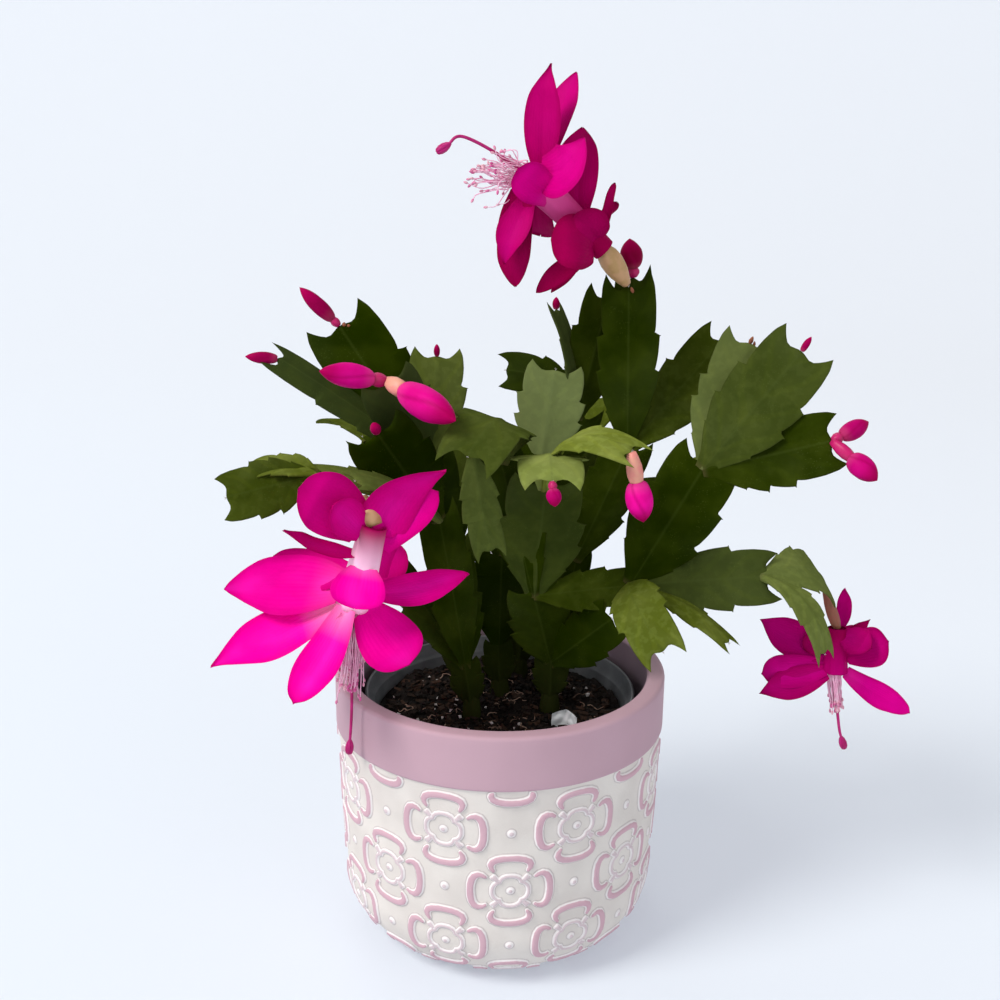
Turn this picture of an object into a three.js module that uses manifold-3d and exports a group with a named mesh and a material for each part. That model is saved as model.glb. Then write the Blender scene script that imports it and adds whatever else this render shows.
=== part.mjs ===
// A potted christmas cactus in bloom, in millimetres, +Z up.
// The origin is the centre of the pot's underside, and the front of the plant faces -Y.
import * as THREE from "three";
import { mergeVertices } from "three/addons/utils/BufferGeometryUtils.js";
import Module from "manifold-3d";

const wasm = await Module();
wasm.setup();

// Driving dimensions of the cover pot
const POT_RADIUS = 65;
const POT_HEIGHT = 107.6;
const POT_WALL = 7;
const POT_FLOOR = 9;
const POT_TAPER = 3.2;
const POT_FOOT_ROUND = 25;
const BAND_HEIGHT = 21;
const BAND_STEP = 0.7;
const RIM_ROUND = 1.6;
const AROUND = 30;

// The plain plastic pot inside it, and the soil
const SEAT_GAP = 0.3;
const INNER_RIM_RADIUS = 53.5;
const INNER_FOOT_RADIUS = 39;
const INNER_WALL = 1.4;
const INNER_RIM_BAND = 6;
const INNER_HEIGHT = 89;
const SOIL_LEVEL = 89;
const SOIL_LUMP = 1.3;

// What every stem has in common
const ROOT_RADIUS = 4;
const ROOT_DEPTH = 20;
const ROOT_TOP = 95;
const ROOT_ROOM = 0.35;
const JOINT_SINK = 3;
const RIB_THICKNESS = 3.2;
const EDGE_THICKNESS = 0.9;
const TEPAL_RIB = 1.1;
const TEPAL_EDGE = 0.7;

// Half outlines as [along, across], in shares of the length and the half width.
// A stem segment widens from a narrow joint, has forward teeth and ends in two horns.
const SEGMENT_OUTLINE = [
  [0, 0.22],
  [0.2, 0.58],
  [0.36, 0.88],
  [0.5, 1.02],
  [0.515, 0.85],
  [0.75, 1.03],
  [0.765, 0.82],
  [0.9, 0.8],
  [1.07, 0.68],
  [0.985, 0.34],
  [1, 0],
];
const SEGMENT_RIB = [0, 0.35, 0.7];
const TEPAL_OUTLINE = [
  [0, 0.5],
  [0.25, 0.84],
  [0.52, 1],
  [0.8, 0.7],
  [1, 0],
];
const TEPAL_RIB_POINTS = [0, 0.5];

// Stems: a root in the soil, then segments as
// [name, parent, areole x, y, z, width, face x, y, z, arch, sweep].
// A segment runs from its parent's areole to its own, with its broad side towards the face vector.
// The arch lifts its middle towards that side, the sweep moves it sideways, as shares of its length.
const STEMS = {
  left_stem: {
    root: [-11, -7],
    segments: [
      ["left_low", "root", -14, -7, 112, 14, 0, -1, 0, 0, 0],
      ["left_trunk", "left_low", -24, -13, 174, 19, 0.2, -1, 0.1, 0.03, 0],
      ["left_trunk_back", "left_low", -19, 3, 150, 20, 0.1, -1, 0.1, 0, 0],
      ["left_side", "left_low", -42, 6, 145, 20, 0.7, -0.6, 0.4, 0, 0],
      ["left_riser", "left_trunk_back", -27, -4, 193, 22, 0.3, -1, 0, 0, 0],
      ["left_front", "left_trunk", -45, -25, 207, 30, 0.1, -1, 0.3, -0.03, 0],
      ["left_arm", "left_trunk", -69, -27, 192, 24, 0, -0.15, 1, 0.08, 0],
      ["left_arm_end", "left_arm", -98, -34, 185, 22, -0.1, -0.9, 0.45, 0, 0],
      ["left_arm_curl", "left_arm", -93, -18, 191, 20, 0.1, -0.25, 1, 0.1, 0],
      ["left_flower_arm", "left_trunk", -51, -43, 194, 18, 0.1, -0.3, 1, 0.1, 0],
      ["left_long", "left_riser", -84, 0, 229, 14, 0, -0.7, 0.8, 0.02, 0],
      ["left_top", "left_riser", -62, 10, 240, 33, 0.1, -1, 0.1, 0, 0],
      ["left_middle", "left_riser", -42, -15, 224, 27, 0.1, -0.9, 0.4, -0.04, 0],
      ["left_upper", "left_riser", -25, 4, 230, 24, 0.1, -0.9, 0.3, 0.04, 0],
    ],
  },
  right_stem: {
    root: [20, -1],
    segments: [
      ["right_low", "root", 20, -2, 112, 15, 0, -1, 0, 0, 0],
      ["right_trunk", "right_low", 12, -8, 142, 25, 0.1, -1, 0, 0, 0],
      ["right_face", "right_trunk", 16, -16, 187, 33, 0, -1, 0.1, -0.03, 0],
      ["right_arch", "right_face", 17, -47, 196, 27, 0, 0.1, 1, 0.3, 0],
      ["right_flower_arm", "right_face", 45, -36, 204, 24, -0.2, -0.1, 1, 0.3, 0],
      ["right_inner", "right_trunk", -1, -11, 196, 22, -0.2, -1, 0, 0, 0],
      ["right_hood", "right_inner", -12, -42, 203, 29, 0.32, 0.1, 1, 0.42, 0],
      ["right_droop", "right_hood", -4, -40, 168, 15, 0.3, -1, 0.2, -0.06, 0],
      ["right_shoulder", "right_trunk", 52, -12, 146, 17, 0.1, -0.8, 0.5, 0, 0],
      ["right_elbow", "right_low", 42, -17, 134, 22, 0.1, -0.8, 0.5, 0, 0],
      ["right_tall", "right_shoulder", 76, -8, 193, 32, -0.2, -1, 0.2, 0, 0],
      ["right_reach", "right_shoulder", 101, -15, 151, 25, 0, -0.9, 0.45, 0.03, 0],
      ["right_lobe", "right_shoulder", 58, -46, 133, 21, -0.5, -0.4, 0.8, 0.25, 0],
      ["right_blade", "right_shoulder", 84, -32, 131, 17, 0.3, -0.1, 1, 0.08, 0],
      ["right_far", "right_tall", 92, 6, 236, 27, -0.3, -0.9, 0.3, 0, 0],
      ["right_broad", "right_tall", 109, -5, 235, 31, -0.1, -0.9, 0.3, 0.02, 0],
      ["right_bud_arm", "right_tall", 120, -16, 204, 27, 0.1, -0.9, 0.4, -0.03, 0],
      ["right_fall", "right_reach", 127, 5, 140, 24, 0.5, -0.4, 0.9, 0.2, 0],
      ["right_tongue", "right_reach", 119, -34, 128, 14, 0.7, -0.8, 0.4, 0.2, 0],
    ],
  },
  centre_stem: {
    root: [0, 12],
    segments: [
      ["centre_low", "root", -1, 12, 112, 14, 0, -1, 0, 0, 0],
      ["centre_trunk", "centre_low", 0, 13, 152, 24, 0.2, -1, 0, 0, 0],
      ["centre_riser", "centre_trunk", 16, 10, 191, 24, 0, -1, 0, 0, 0],
      ["centre_side", "centre_trunk", 30, 18, 206, 24, 0.3, -1, 0, 0, 0],
      ["centre_left", "centre_trunk", -6, 14, 184, 22, 0, -1, 0, 0, 0],
      ["centre_pale", "centre_riser", 20, 16, 223, 27, 0, -0.8, 0.6, 0.03, 0],
      ["centre_droop", "centre_side", 1, 25, 221, 18, 0.1, -1, 0.3, 0, 0.16],
      ["centre_narrow", "centre_side", 20, 26, 245, 15, 0.9, -0.45, 0.3, 0.06, 0],
      ["centre_behind", "centre_side", 40, 25, 250, 22, 0, -1, 0.1, 0, 0],
    ],
  },
  tall_stem: {
    root: [22, 17],
    segments: [
      ["tall_low", "root", 24, 17, 112, 14, 0, -1, 0, 0, 0],
      ["tall_trunk", "tall_low", 30, 12, 150, 15, 0, -1, 0.1, 0, 0],
      ["tall_riser", "tall_trunk", 49, 8, 196, 22, -0.2, -1, 0.1, 0, 0],
      ["tall_top", "tall_riser", 46, 8, 256, 24, 0, -1, 0.1, 0, 0],
      ["tall_back", "tall_riser", 49, 22, 258, 18, 0.3, -1, 0.1, 0, 0],
      ["tall_side", "tall_riser", 85, 27, 233, 25, -0.3, -0.9, 0.4, 0, 0],
    ],
  },
  rear_stem: {
    root: [-17, 19],
    segments: [
      ["rear_low", "root", -18, 20, 112, 14, 0.2, 1, 0, 0, 0],
      ["rear_trunk", "rear_low", -20, 33, 150, 22, 0.2, 1, 0, 0, 0],
      ["rear_left", "rear_trunk", -58, 47, 188, 25, 0.2, 0.8, 0.5, 0.05, 0],
      ["rear_right", "rear_trunk", -25, 58, 184, 25, 0, 0.9, 0.4, 0.05, 0],
      ["rear_left_end", "rear_left", -72, 73, 188, 24, 0, 0.2, 1, 0.15, 0],
      ["rear_right_end", "rear_right", -30, 88, 180, 24, 0.1, 0.4, 1, 0.2, 0],
    ],
  },
  back_stem: {
    root: [8, 33],
    segments: [
      ["back_low", "root", 9, 34, 112, 14, 0, 1, 0, 0, 0],
      ["back_trunk", "back_low", 18, 44, 148, 22, 0, 1, 0.2, 0, 0],
      ["back_up", "back_trunk", 40, 60, 188, 25, 0, 1, 0.3, 0.03, 0],
      ["back_side", "back_trunk", 72, 48, 168, 25, 0.1, 0.7, 0.8, 0.1, 0],
      ["back_side_end", "back_side", 100, 66, 176, 22, 0.1, 0.4, 1, 0.15, 0],
      ["back_up_end", "back_up", 56, 90, 196, 22, 0, 0.3, 1, 0.2, 0],
    ],
  },
};

// Buds as [name, stem, segment that bears it, tip x, y, z, radius, length of its ovary].
const BUDS = [
  ["bud_left_top", "left_stem", "left_top", -76, 9, 254, 3, 2.5],
  ["bud_left_long", "left_stem", "left_long", -95, -2, 230, 2.3, 0],
  ["bud_left_inner", "left_stem", "left_middle", -63, -25, 229, 4.6, 3],
  ["bud_left_big", "left_stem", "left_middle", -18, -39, 216, 6, 6],
  ["bud_left_front", "left_stem", "left_front", -46, -27, 211, 2, 0],
  ["bud_left_upper", "left_stem", "left_upper", -25, 3, 234, 1.2, 0],
  ["bud_centre", "centre_stem", "centre_narrow", 20, 26, 249, 1.5, 0],
  ["bud_arch", "right_stem", "right_arch", 18, -51, 189, 2.7, 1.5],
  ["bud_hanging", "right_stem", "right_flower_arm", 50, -36, 180, 5, 9],
  ["bud_right_broad", "right_stem", "right_broad", 112, -5, 240, 1.3, 0],
  ["bud_right_upper", "right_stem", "right_bud_arm", 133, -12, 210, 3.6, 2.5],
  ["bud_right_lower", "right_stem", "right_bud_arm", 130, -25, 196, 4.4, 2.5],
  ["bud_behind", "tall_stem", "tall_back", 47, 21, 272, 4.4, 2.5],
];

// Blooms: points down the middle of each, then its tepals as
// [place, tip x, y, z, width, face x, y, z, arch, sweep].
// The place is where a tepal springs from the tube, from 0 at the neck to 1 at the throat.
const BLOOMS = {
  left_bloom: {
    stem: "left_stem",
    bearer: "left_flower_arm",
    neck: [-44, -51, 181],
    throat: [-52, -47, 150],
    stamens: [-54, -45, 119],
    crest: [-54, -44, 108],
    stigma: [-55, -44, 94],
    radius: 6.4,
    ovaryRadius: 4.2,
    tepals: [
      [0.05, -67, -62, 196, 22, 0, -0.9, 0.4, -0.02, 0.06],
      [0.05, -56, -62, 191, 14, 0, -0.8, 0.5, 0, 0],
      [0.35, -72, -63, 183, 8, 0, -0.5, 0.8, -0.1, 0],
      [0.05, -36, -53, 193, 14, 0.2, -1, 0.1, -0.1, 0],
      [0.2, -22, -56, 194, 14, 0, -1, 0.3, -0.1, -0.05],
      [0.6, -19, -60, 202, 18, 0.2, -1, 0, -0.1, -0.16],
      [0.45, -50, -61, 154, 19, 0, -1, 0.3, 0.15, 0],
      [0.85, -98, -44, 155, 26, 0, -0.64, 0.77, -0.1, 0.08],
      [0.7, -83, -30, 162, 18, 0, -0.64, 0.77, -0.12, 0],
      [1, -100, -62, 133, 20, 0, -0.64, 0.77, -0.12, 0.06],
      [1, -70, -74, 126, 15, 0, -0.64, 0.77, -0.12, 0],
      [1, -32, -62, 135, 22, 0, -0.7, 0.7, -0.12, 0],
      [0.85, -12, -40, 160, 14, 0, -0.64, 0.77, -0.12, 0],
      [0.85, -37, -22, 164, 16, 0, -0.64, 0.77, -0.12, 0],
    ],
  },
  top_bloom: {
    stem: "tall_stem",
    bearer: "tall_top",
    neck: [36, 3, 270],
    throat: [8, -3, 296],
    stamens: [-9, -8, 299],
    crest: [-14, -9, 309],
    stigma: [-21, -11, 306],
    radius: 6,
    ovaryRadius: 4.1,
    tepals: [
      [0.05, 16, -12, 275, 20, -0.3, -0.9, 0.3, 0.2, 0],
      [0.1, 25, -9, 284, 16, -0.3, -0.9, 0.3, 0.2, 0],
      [0.05, 11, -4, 255, 8, -0.4, -0.9, 0, 0.1, 0],
      [0.1, 17, 4, 254, 6, -0.3, -0.9, -0.1, 0.05, 0],
      [0.05, 39, 3, 294, 4, -0.5, -0.8, 0, 0.05, 0],
      [0.15, 41, 12, 286, 5, -0.5, -0.8, 0, 0.05, 0],
      [0.1, 24, 20, 276, 14, -0.7, -0.3, 0.6, 0.15, 0],
      [1, 14, -8, 334, 15, -0.5, -0.9, 0.2, 0.03, 0],
      [1, 25, 6, 331, 15, -0.6, -0.7, 0.3, 0.05, 0],
      [1, 26, -18, 310, 20, -0.5, -0.8, 0.4, 0.05, 0.28],
      [0.75, 4, -15, 299, 14, -0.3, -0.9, 0.2, 0.1, 0],
      [0.4, 27, 12, 314, 16, -0.3, -0.9, 0.2, 0.1, 0],
      [1, 3, -6, 257, 15, -0.5, -0.9, -0.2, 0.04, 0],
      [0.9, -1, -12, 266, 12, -0.5, -0.9, -0.2, 0.07, 0],
      [0.8, 13, 12, 274, 16, -0.4, -0.9, 0, 0.1, 0],
    ],
  },
  right_bloom: {
    stem: "right_stem",
    bearer: "right_fall",
    neck: [133, 2, 124],
    throat: [133, 0, 106],
    stamens: [135, -1, 91],
    crest: [136, -2, 84],
    stigma: [138, -2, 77],
    radius: 5,
    ovaryRadius: 2.2,
    tepals: [
      [0.05, 137, 10, 138, 7, -0.6, -0.7, 0.3, -0.15, 0],
      [0.1, 143, -8, 121, 13, 0, -0.8, 0.6, -0.1, 0],
      [0.4, 149, 12, 124, 6, 0, -0.8, 0.6, -0.1, 0],
      [0.15, 121, 4, 114, 10, 0, -0.8, 0.6, -0.1, 0],
      [0.6, 152, -4, 121, 16, 0, -0.8, 0.6, -0.1, 0],
      [1, 159, -15, 97, 11, 0, -0.7, 0.7, -0.1, 0],
      [0.6, 104, 10, 124, 16, 0, -0.8, 0.6, -0.1, 0],
      [0.9, 104, -8, 109, 14, 0, -0.8, 0.6, -0.1, 0],
      [1, 102, -15, 104, 13, 0, -0.8, 0.6, -0.1, 0],
      [0.8, 147, 22, 117, 13, 0, -0.6, 0.8, -0.1, 0],
    ],
  },
};

const UP = new THREE.Vector3(0, 0, 1);

function vector(numbers) {
  return new THREE.Vector3(...numbers);
}

// A solid from a closed geometry, with shared corners merged and empty triangles dropped
function solidOf(geometry) {
  const bare = geometry.clone();
  bare.deleteAttribute("normal");
  bare.deleteAttribute("uv");
  const merged = mergeVertices(bare, 1e-4);
  const corners = merged.index.array;
  const kept = [];
  for (let i = 0; i < corners.length; i += 3) {
    const [a, b, c] = [corners[i], corners[i + 1], corners[i + 2]];
    if (a !== b && b !== c && c !== a) {
      kept.push(a, b, c);
    }
  }
  const mesh = new wasm.Mesh({
    numProp: 3,
    vertProperties: merged.attributes.position.array,
    triVerts: new Uint32Array(kept),
  });
  return new wasm.Manifold(mesh);
}

function geometryOf(solid) {
  const mesh = solid.getMesh();
  const geometry = new THREE.BufferGeometry();
  geometry.setAttribute("position", new THREE.BufferAttribute(mesh.vertProperties, 3));
  geometry.setIndex(new THREE.BufferAttribute(mesh.triVerts, 1));
  return geometry.toNonIndexed();
}

// Pieces grown together, with points that lie on a straight edge dropped
const FLAT_ENOUGH = 0.25;

function fused(solids) {
  return solids.reduce((whole, piece) => whole.add(piece));
}

function joined(solids) {
  return fused(solids).simplify(FLAT_ENOUGH);
}

// Moves a Z-up geometry so that its axis starts at one point and runs towards another.
function placed(geometry, from, towards) {
  const direction = towards.clone().sub(from).normalize();
  const turn = new THREE.Quaternion().setFromUnitVectors(UP, direction);
  geometry.applyQuaternion(turn);
  geometry.translate(from.x, from.y, from.z);
  return geometry;
}

// A turned body about +Z from [radius, height] points that start and end on the axis
function turned(profile, sides) {
  const points = profile.map(([radius, height]) => new THREE.Vector2(radius, height));
  const geometry = new THREE.LatheGeometry(points, sides);
  geometry.rotateX(Math.PI / 2);
  return geometry;
}

// A round bar along a curve, with few sides
function bar(curve, radius, sides, steps) {
  const section = new THREE.Shape();
  section.absarc(0, 0, radius, 0, 2 * Math.PI, false);
  const points = section.getPoints(sides).slice(0, sides);
  return new THREE.ExtrudeGeometry(new THREE.Shape(points), {
    steps,
    bevelEnabled: false,
    extrudePath: curve,
  });
}

// A thin arched blade, thick along its rib, from a half outline that is mirrored
function blade(shape) {
  const { from, to, width, face, arch, sweep, outline, rib, ribThickness, edgeThickness } = shape;
  const length = from.distanceTo(to);
  const axis = to.clone().sub(from).normalize();
  const up = face.clone().addScaledVector(axis, -face.dot(axis)).normalize();
  const side = axis.clone().cross(up);

  function surfacePoint(along, across, layer) {
    const swell = 4 * along * (1 - along) * length;
    const slope = 4 * (1 - 2 * along);
    const middle = from.clone().addScaledVector(axis, along * length);
    middle.addScaledVector(up, arch * swell).addScaledVector(side, sweep * swell);
    const heading = axis.clone().addScaledVector(up, arch * slope).addScaledVector(side, sweep * slope);
    const outward = side.clone().addScaledVector(heading, -side.dot(heading) / heading.lengthSq()).normalize();
    const normal = outward.clone().cross(heading).normalize();
    const thickness = edgeThickness + (ribThickness - edgeThickness) * (1 - Math.abs(across));
    middle.addScaledVector(outward, (across * width) / 2);
    return middle.addScaledVector(normal, (layer * thickness) / 2);
  }

  const corners = [];
  function add(along, across, layer) {
    corners.push(surfacePoint(along, across, layer));
    return corners.length - 1;
  }
  const faces = [];
  const tip = { 1: add(1, 0, 1), [-1]: add(1, 0, -1) };
  const ribs = {};
  const edges = {};
  for (const layer of [1, -1]) {
    ribs[layer] = rib.map((along) => add(along, 0, layer));
    for (const hand of [1, -1]) {
      const list = outline.slice(0, -1).map(([along, across]) => add(along, hand * across, layer));
      edges[[layer, hand]] = [...list, tip[layer]];
    }
  }
  function triangle(a, b, c, forward) {
    faces.push(...(forward ? [a, b, c] : [a, c, b]));
  }
  for (const hand of [1, -1]) {
    for (const layer of [1, -1]) {
      const edge = edges[[layer, hand]];
      const middle = ribs[layer];
      let i = 0;
      for (let j = 0; j < edge.length - 1; j += 1) {
        triangle(middle[i], edge[j], edge[j + 1], hand * layer > 0);
        while (i < rib.length - 1 && rib[i + 1] <= outline[j + 1][0] && j < edge.length - 2) {
          triangle(middle[i], edge[j + 1], middle[i + 1], hand * layer > 0);
          i += 1;
        }
      }
    }
    const top = edges[[1, hand]];
    const bottom = edges[[-1, hand]];
    for (let j = 0; j < top.length - 1; j += 1) {
      triangle(top[j], bottom[j], bottom[j + 1], hand > 0);
      triangle(top[j], bottom[j + 1], top[j + 1], hand > 0);
    }
  }
  const ring = [ribs[1][0], edges[[1, -1]][0], edges[[-1, -1]][0]];
  ring.push(ribs[-1][0], edges[[-1, 1]][0], edges[[1, 1]][0]);
  for (let j = 1; j < ring.length - 1; j += 1) {
    triangle(ring[0], ring[j], ring[j + 1], true);
  }
  const geometry = new THREE.BufferGeometry().setFromPoints(corners);
  geometry.setIndex(faces);
  return geometry;
}

// Cover pot
function potSolid() {
  const foot = POT_RADIUS - POT_TAPER;
  const flat = foot - POT_FOOT_ROUND;
  const bandBottom = POT_HEIGHT - BAND_HEIGHT;
  const inside = POT_RADIUS - POT_WALL;
  const outline = [[0, 0], [flat, 0]];
  const footSteps = 4;
  for (let i = 1; i <= footSteps; i += 1) {
    const turn = (i / footSteps) * (Math.PI / 2);
    outline.push([
      flat + POT_FOOT_ROUND * Math.sin(turn),
      POT_FOOT_ROUND * (1 - Math.cos(turn)),
    ]);
  }
  outline.push([POT_RADIUS - BAND_STEP, bandBottom]);
  outline.push([POT_RADIUS, bandBottom + BAND_STEP]);
  outline.push([POT_RADIUS, POT_HEIGHT - RIM_ROUND]);
  outline.push([POT_RADIUS - RIM_ROUND, POT_HEIGHT]);
  outline.push([inside + RIM_ROUND, POT_HEIGHT]);
  outline.push([inside, POT_HEIGHT - RIM_ROUND]);
  outline.push([inside - POT_TAPER, POT_FLOOR + RIM_ROUND]);
  outline.push([inside - POT_TAPER - RIM_ROUND, POT_FLOOR]);
  outline.push([0, POT_FLOOR]);
  return solidOf(turned(outline, AROUND));
}

// Plastic pot that stands inside the cover pot
function innerPotOutline() {
  const foot = POT_FLOOR + SEAT_GAP;
  const top = foot + INNER_HEIGHT;
  const body = INNER_RIM_RADIUS - 2;
  return {
    foot,
    top,
    outside: [
      [0, foot],
      [INNER_FOOT_RADIUS, foot],
      [body, top - INNER_RIM_BAND],
      [INNER_RIM_RADIUS, top - INNER_RIM_BAND],
      [INNER_RIM_RADIUS, top],
    ],
    inside: [
      [INNER_RIM_RADIUS - INNER_WALL, top],
      [body - INNER_WALL, top - INNER_RIM_BAND],
      [INNER_FOOT_RADIUS - INNER_WALL, foot + INNER_WALL],
      [0, foot + INNER_WALL],
    ],
  };
}

function innerPotSolid() {
  const { outside, inside } = innerPotOutline();
  return solidOf(turned([...outside, ...inside], AROUND));
}

// Height of the lumpy soil at a place on its surface
function soilHeight(x, y) {
  const coarse = Math.sin(x * 0.21 + 1) * Math.cos(y * 0.17 - 2);
  const fine = Math.sin(x * 0.47 - y * 0.39) * 0.6;
  return SOIL_LEVEL + SOIL_LUMP * (coarse + fine);
}

function soilSolid(holes) {
  const { foot, top } = innerPotOutline();
  const bottom = foot + INNER_WALL + SEAT_GAP;
  const bottomRadius = INNER_FOOT_RADIUS - INNER_WALL - 2 * SEAT_GAP;
  const wallSpan = top - INNER_RIM_BAND - foot;
  const wallSpread = INNER_RIM_RADIUS - 2 - INNER_FOOT_RADIUS;
  const shoulder = SOIL_LEVEL - 4;
  const topRadius = bottomRadius + (wallSpread * (shoulder - bottom)) / wallSpan;
  const rings = 5;
  const profile = [[0, bottom], [bottomRadius, bottom], [topRadius, shoulder]];
  for (let i = 0; i < rings; i += 1) {
    profile.push([topRadius * (1 - i / rings), SOIL_LEVEL]);
  }
  profile.push([0, SOIL_LEVEL]);
  const geometry = turned(profile, AROUND / 2);
  const places = geometry.attributes.position;
  for (let i = 0; i < places.count; i += 1) {
    if (places.getZ(i) > SOIL_LEVEL - 1) {
      places.setZ(i, soilHeight(places.getX(i), places.getY(i)));
    }
  }
  return holes.reduce((body, hole) => body.subtract(hole), solidOf(geometry));
}

// Folded label of thin white sheet that stands in the soil
const LABEL = { place: [25, -19], width: 10, thickness: 0.8, top: 96, bottom: 74, fold: 3, turn: -0.35 };

const LABEL_ROOM = 0.6;

function labelSolid(clearance, bottom) {
  const half = LABEL.width / 2 + clearance;
  const thick = LABEL.thickness / 2 + clearance;
  const section = new THREE.Shape();
  section.moveTo(-half, -thick);
  section.lineTo(0, LABEL.fold - thick);
  section.lineTo(half, -thick);
  section.lineTo(half, thick);
  section.lineTo(0, LABEL.fold + thick);
  section.lineTo(-half, thick);
  section.closePath();
  const sheet = new THREE.ExtrudeGeometry(section, { depth: LABEL.top - bottom, bevelEnabled: false });
  sheet.rotateZ(LABEL.turn);
  sheet.translate(LABEL.place[0], LABEL.place[1], bottom);
  return solidOf(sheet);
}

// Root stub of a stem, or the hole that it stands in
function rootSolid([x, y], clearance, top) {
  const bottom = SOIL_LEVEL - ROOT_DEPTH - clearance;
  const radius = ROOT_RADIUS + clearance;
  const stub = turned([[0, 0], [radius * 0.7, 0], [radius, 4], [radius, top - bottom], [0, top - bottom]], 8);
  stub.translate(x, y, bottom);
  return solidOf(stub);
}

// The direction in which an arched segment reaches its areole
function endHeading({ from, to, face, arch, sweep }) {
  const axis = to.clone().sub(from).normalize();
  const up = face.clone().addScaledVector(axis, -face.dot(axis)).normalize();
  const side = axis.clone().cross(up);
  return axis.addScaledVector(up, -4 * arch).addScaledVector(side, -4 * sweep).normalize();
}

// Each stem's segments by name, from joint to areole
function segmentsOf(stem) {
  const root = new THREE.Vector3(stem.root[0], stem.root[1], ROOT_TOP);
  const below = root.clone().setZ(ROOT_TOP - ROOT_DEPTH);
  const ends = { root: { from: below, to: root, face: new THREE.Vector3(0, -1, 0), arch: 0, sweep: 0 } };
  return stem.segments.map(([name, parent, x, y, z, width, faceX, faceY, faceZ, arch, sweep]) => {
    const bearer = ends[parent];
    const segment = {
      name,
      from: bearer.to.clone().addScaledVector(endHeading(bearer), -JOINT_SINK),
      to: new THREE.Vector3(x, y, z),
      width,
      face: new THREE.Vector3(faceX, faceY, faceZ),
      arch,
      sweep,
    };
    ends[name] = segment;
    return segment;
  });
}

function stemSolid(stem) {
  const pieces = segmentsOf(stem).map((segment) => solidOf(blade({
    ...segment,
    outline: SEGMENT_OUTLINE,
    rib: SEGMENT_RIB,
    ribThickness: RIB_THICKNESS,
    edgeThickness: EDGE_THICKNESS,
  })));
  return joined([rootSolid(stem.root, 0, ROOT_TOP), ...pieces]);
}

// How far out along its line a piece starts, so that it just clears the stem that bears it
const SEAT_STEP = 0.1;
const SEAT_REACH = 8;

function seatShift(pieceAt, stem) {
  let shift = 0;
  while (shift < SEAT_REACH && pieceAt(shift).minGap(stem, 1) < SEAT_GAP) {
    shift += SEAT_STEP;
  }
  return shift;
}

// A bud: a small ovary where it has one, and the closed petals
const BUD_SIDES = 6;

function budGeometries(from, tip, radius, ovaryLength) {
  const length = from.distanceTo(tip);
  const start = ovaryLength > 0 ? ovaryLength + SEAT_GAP : 0;
  const body = length - start;
  const petals = turned([
    [0, start],
    [radius * 0.55, start],
    [radius * 0.9, start + body * 0.2],
    [radius, start + body * 0.42],
    [radius * 0.82, start + body * 0.68],
    [radius * 0.4, start + body * 0.9],
    [0, length],
  ], BUD_SIDES);
  const pieces = { petals: placed(petals, from, tip) };
  if (ovaryLength > 0) {
    const ovary = turned([
      [0, 0],
      [radius * 0.35, 0],
      [radius * 0.55, ovaryLength * 0.5],
      [radius * 0.5, ovaryLength],
      [0, ovaryLength],
    ], BUD_SIDES);
    pieces.ovary = placed(ovary, from, tip);
  }
  return pieces;
}

// A bloom: ovary, tube with two tiers of tepals, stamens round the style, and the style
const TUBE_SIDES = 7;
const NECK_SHARE = 0.72;
const FIRST_PLACE = 0.05;
const PLACE_SPAN = 0.92;
const TUBE_WALL = 1.1;
const POCKET_FLOOR = 4;
const OVARY_ROOM = 0.6;
const COLLAR_HOLE = 1.2;
const COLLAR_LENGTH = 3;
const STYLE_RADIUS = 0.65;
const STYLE_SIDES = 5;
const STYLE_STEPS = 8;
const FILAMENTS = 6;
const FILAMENT_RADIUS = 0.45;
const ANTHER_RADIUS = 1;
const STAMEN_SPREAD = 5.6;

function ovarySolid(bloom, from, clearance) {
  const neck = vector(bloom.neck);
  const length = from.distanceTo(neck) - SEAT_GAP + clearance;
  const wide = bloom.ovaryRadius + clearance;
  const ovary = turned([
    [0, 0],
    [wide * 0.45, 0],
    [wide * 0.9, length * 0.4],
    [wide, length * 0.7],
    [wide * 0.7, length],
    [0, length],
  ], TUBE_SIDES);
  return solidOf(placed(ovary, from, neck));
}

function perianthSolid(bloom, ovaryBase) {
  const neck = vector(bloom.neck);
  const throat = vector(bloom.throat);
  const length = neck.distanceTo(throat);
  const axis = throat.clone().sub(neck).normalize();
  const wide = bloom.radius;
  const narrow = wide * NECK_SHARE;
  const tube = turned([[0, 0], [narrow, 0], [wide, length], [0, length]], TUBE_SIDES);
  const pocket = turned([
    [0, POCKET_FLOOR],
    [narrow - TUBE_WALL, POCKET_FLOOR],
    [wide - TUBE_WALL, length],
    [wide - TUBE_WALL, length + POCKET_FLOOR],
    [0, length + POCKET_FLOOR],
  ], TUBE_SIDES);
  const pieces = [solidOf(placed(tube, neck, throat))];
  for (const [place, x, y, z, width, faceX, faceY, faceZ, arch, sweep] of bloom.tepals) {
    const to = new THREE.Vector3(x, y, z);
    const share = FIRST_PLACE + PLACE_SPAN * place;
    const centre = neck.clone().lerp(throat, share);
    const radius = narrow + (wide - narrow) * share - TUBE_WALL * 0.6;
    const spoke = to.clone().sub(centre);
    spoke.addScaledVector(axis, -spoke.dot(axis)).setLength(radius);
    pieces.push(solidOf(blade({
      from: centre.clone().add(spoke),
      to,
      width,
      face: new THREE.Vector3(faceX, faceY, faceZ),
      arch,
      sweep,
      outline: TEPAL_OUTLINE,
      rib: TEPAL_RIB_POINTS,
      ribThickness: TEPAL_RIB,
      edgeThickness: TEPAL_EDGE,
    })));
  }
  const ovaryRoom = ovarySolid(bloom, ovaryBase, OVARY_ROOM);
  const pocketRoom = solidOf(placed(pocket, neck, throat));
  return joined(pieces).subtract(ovaryRoom).subtract(pocketRoom);
}

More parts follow.
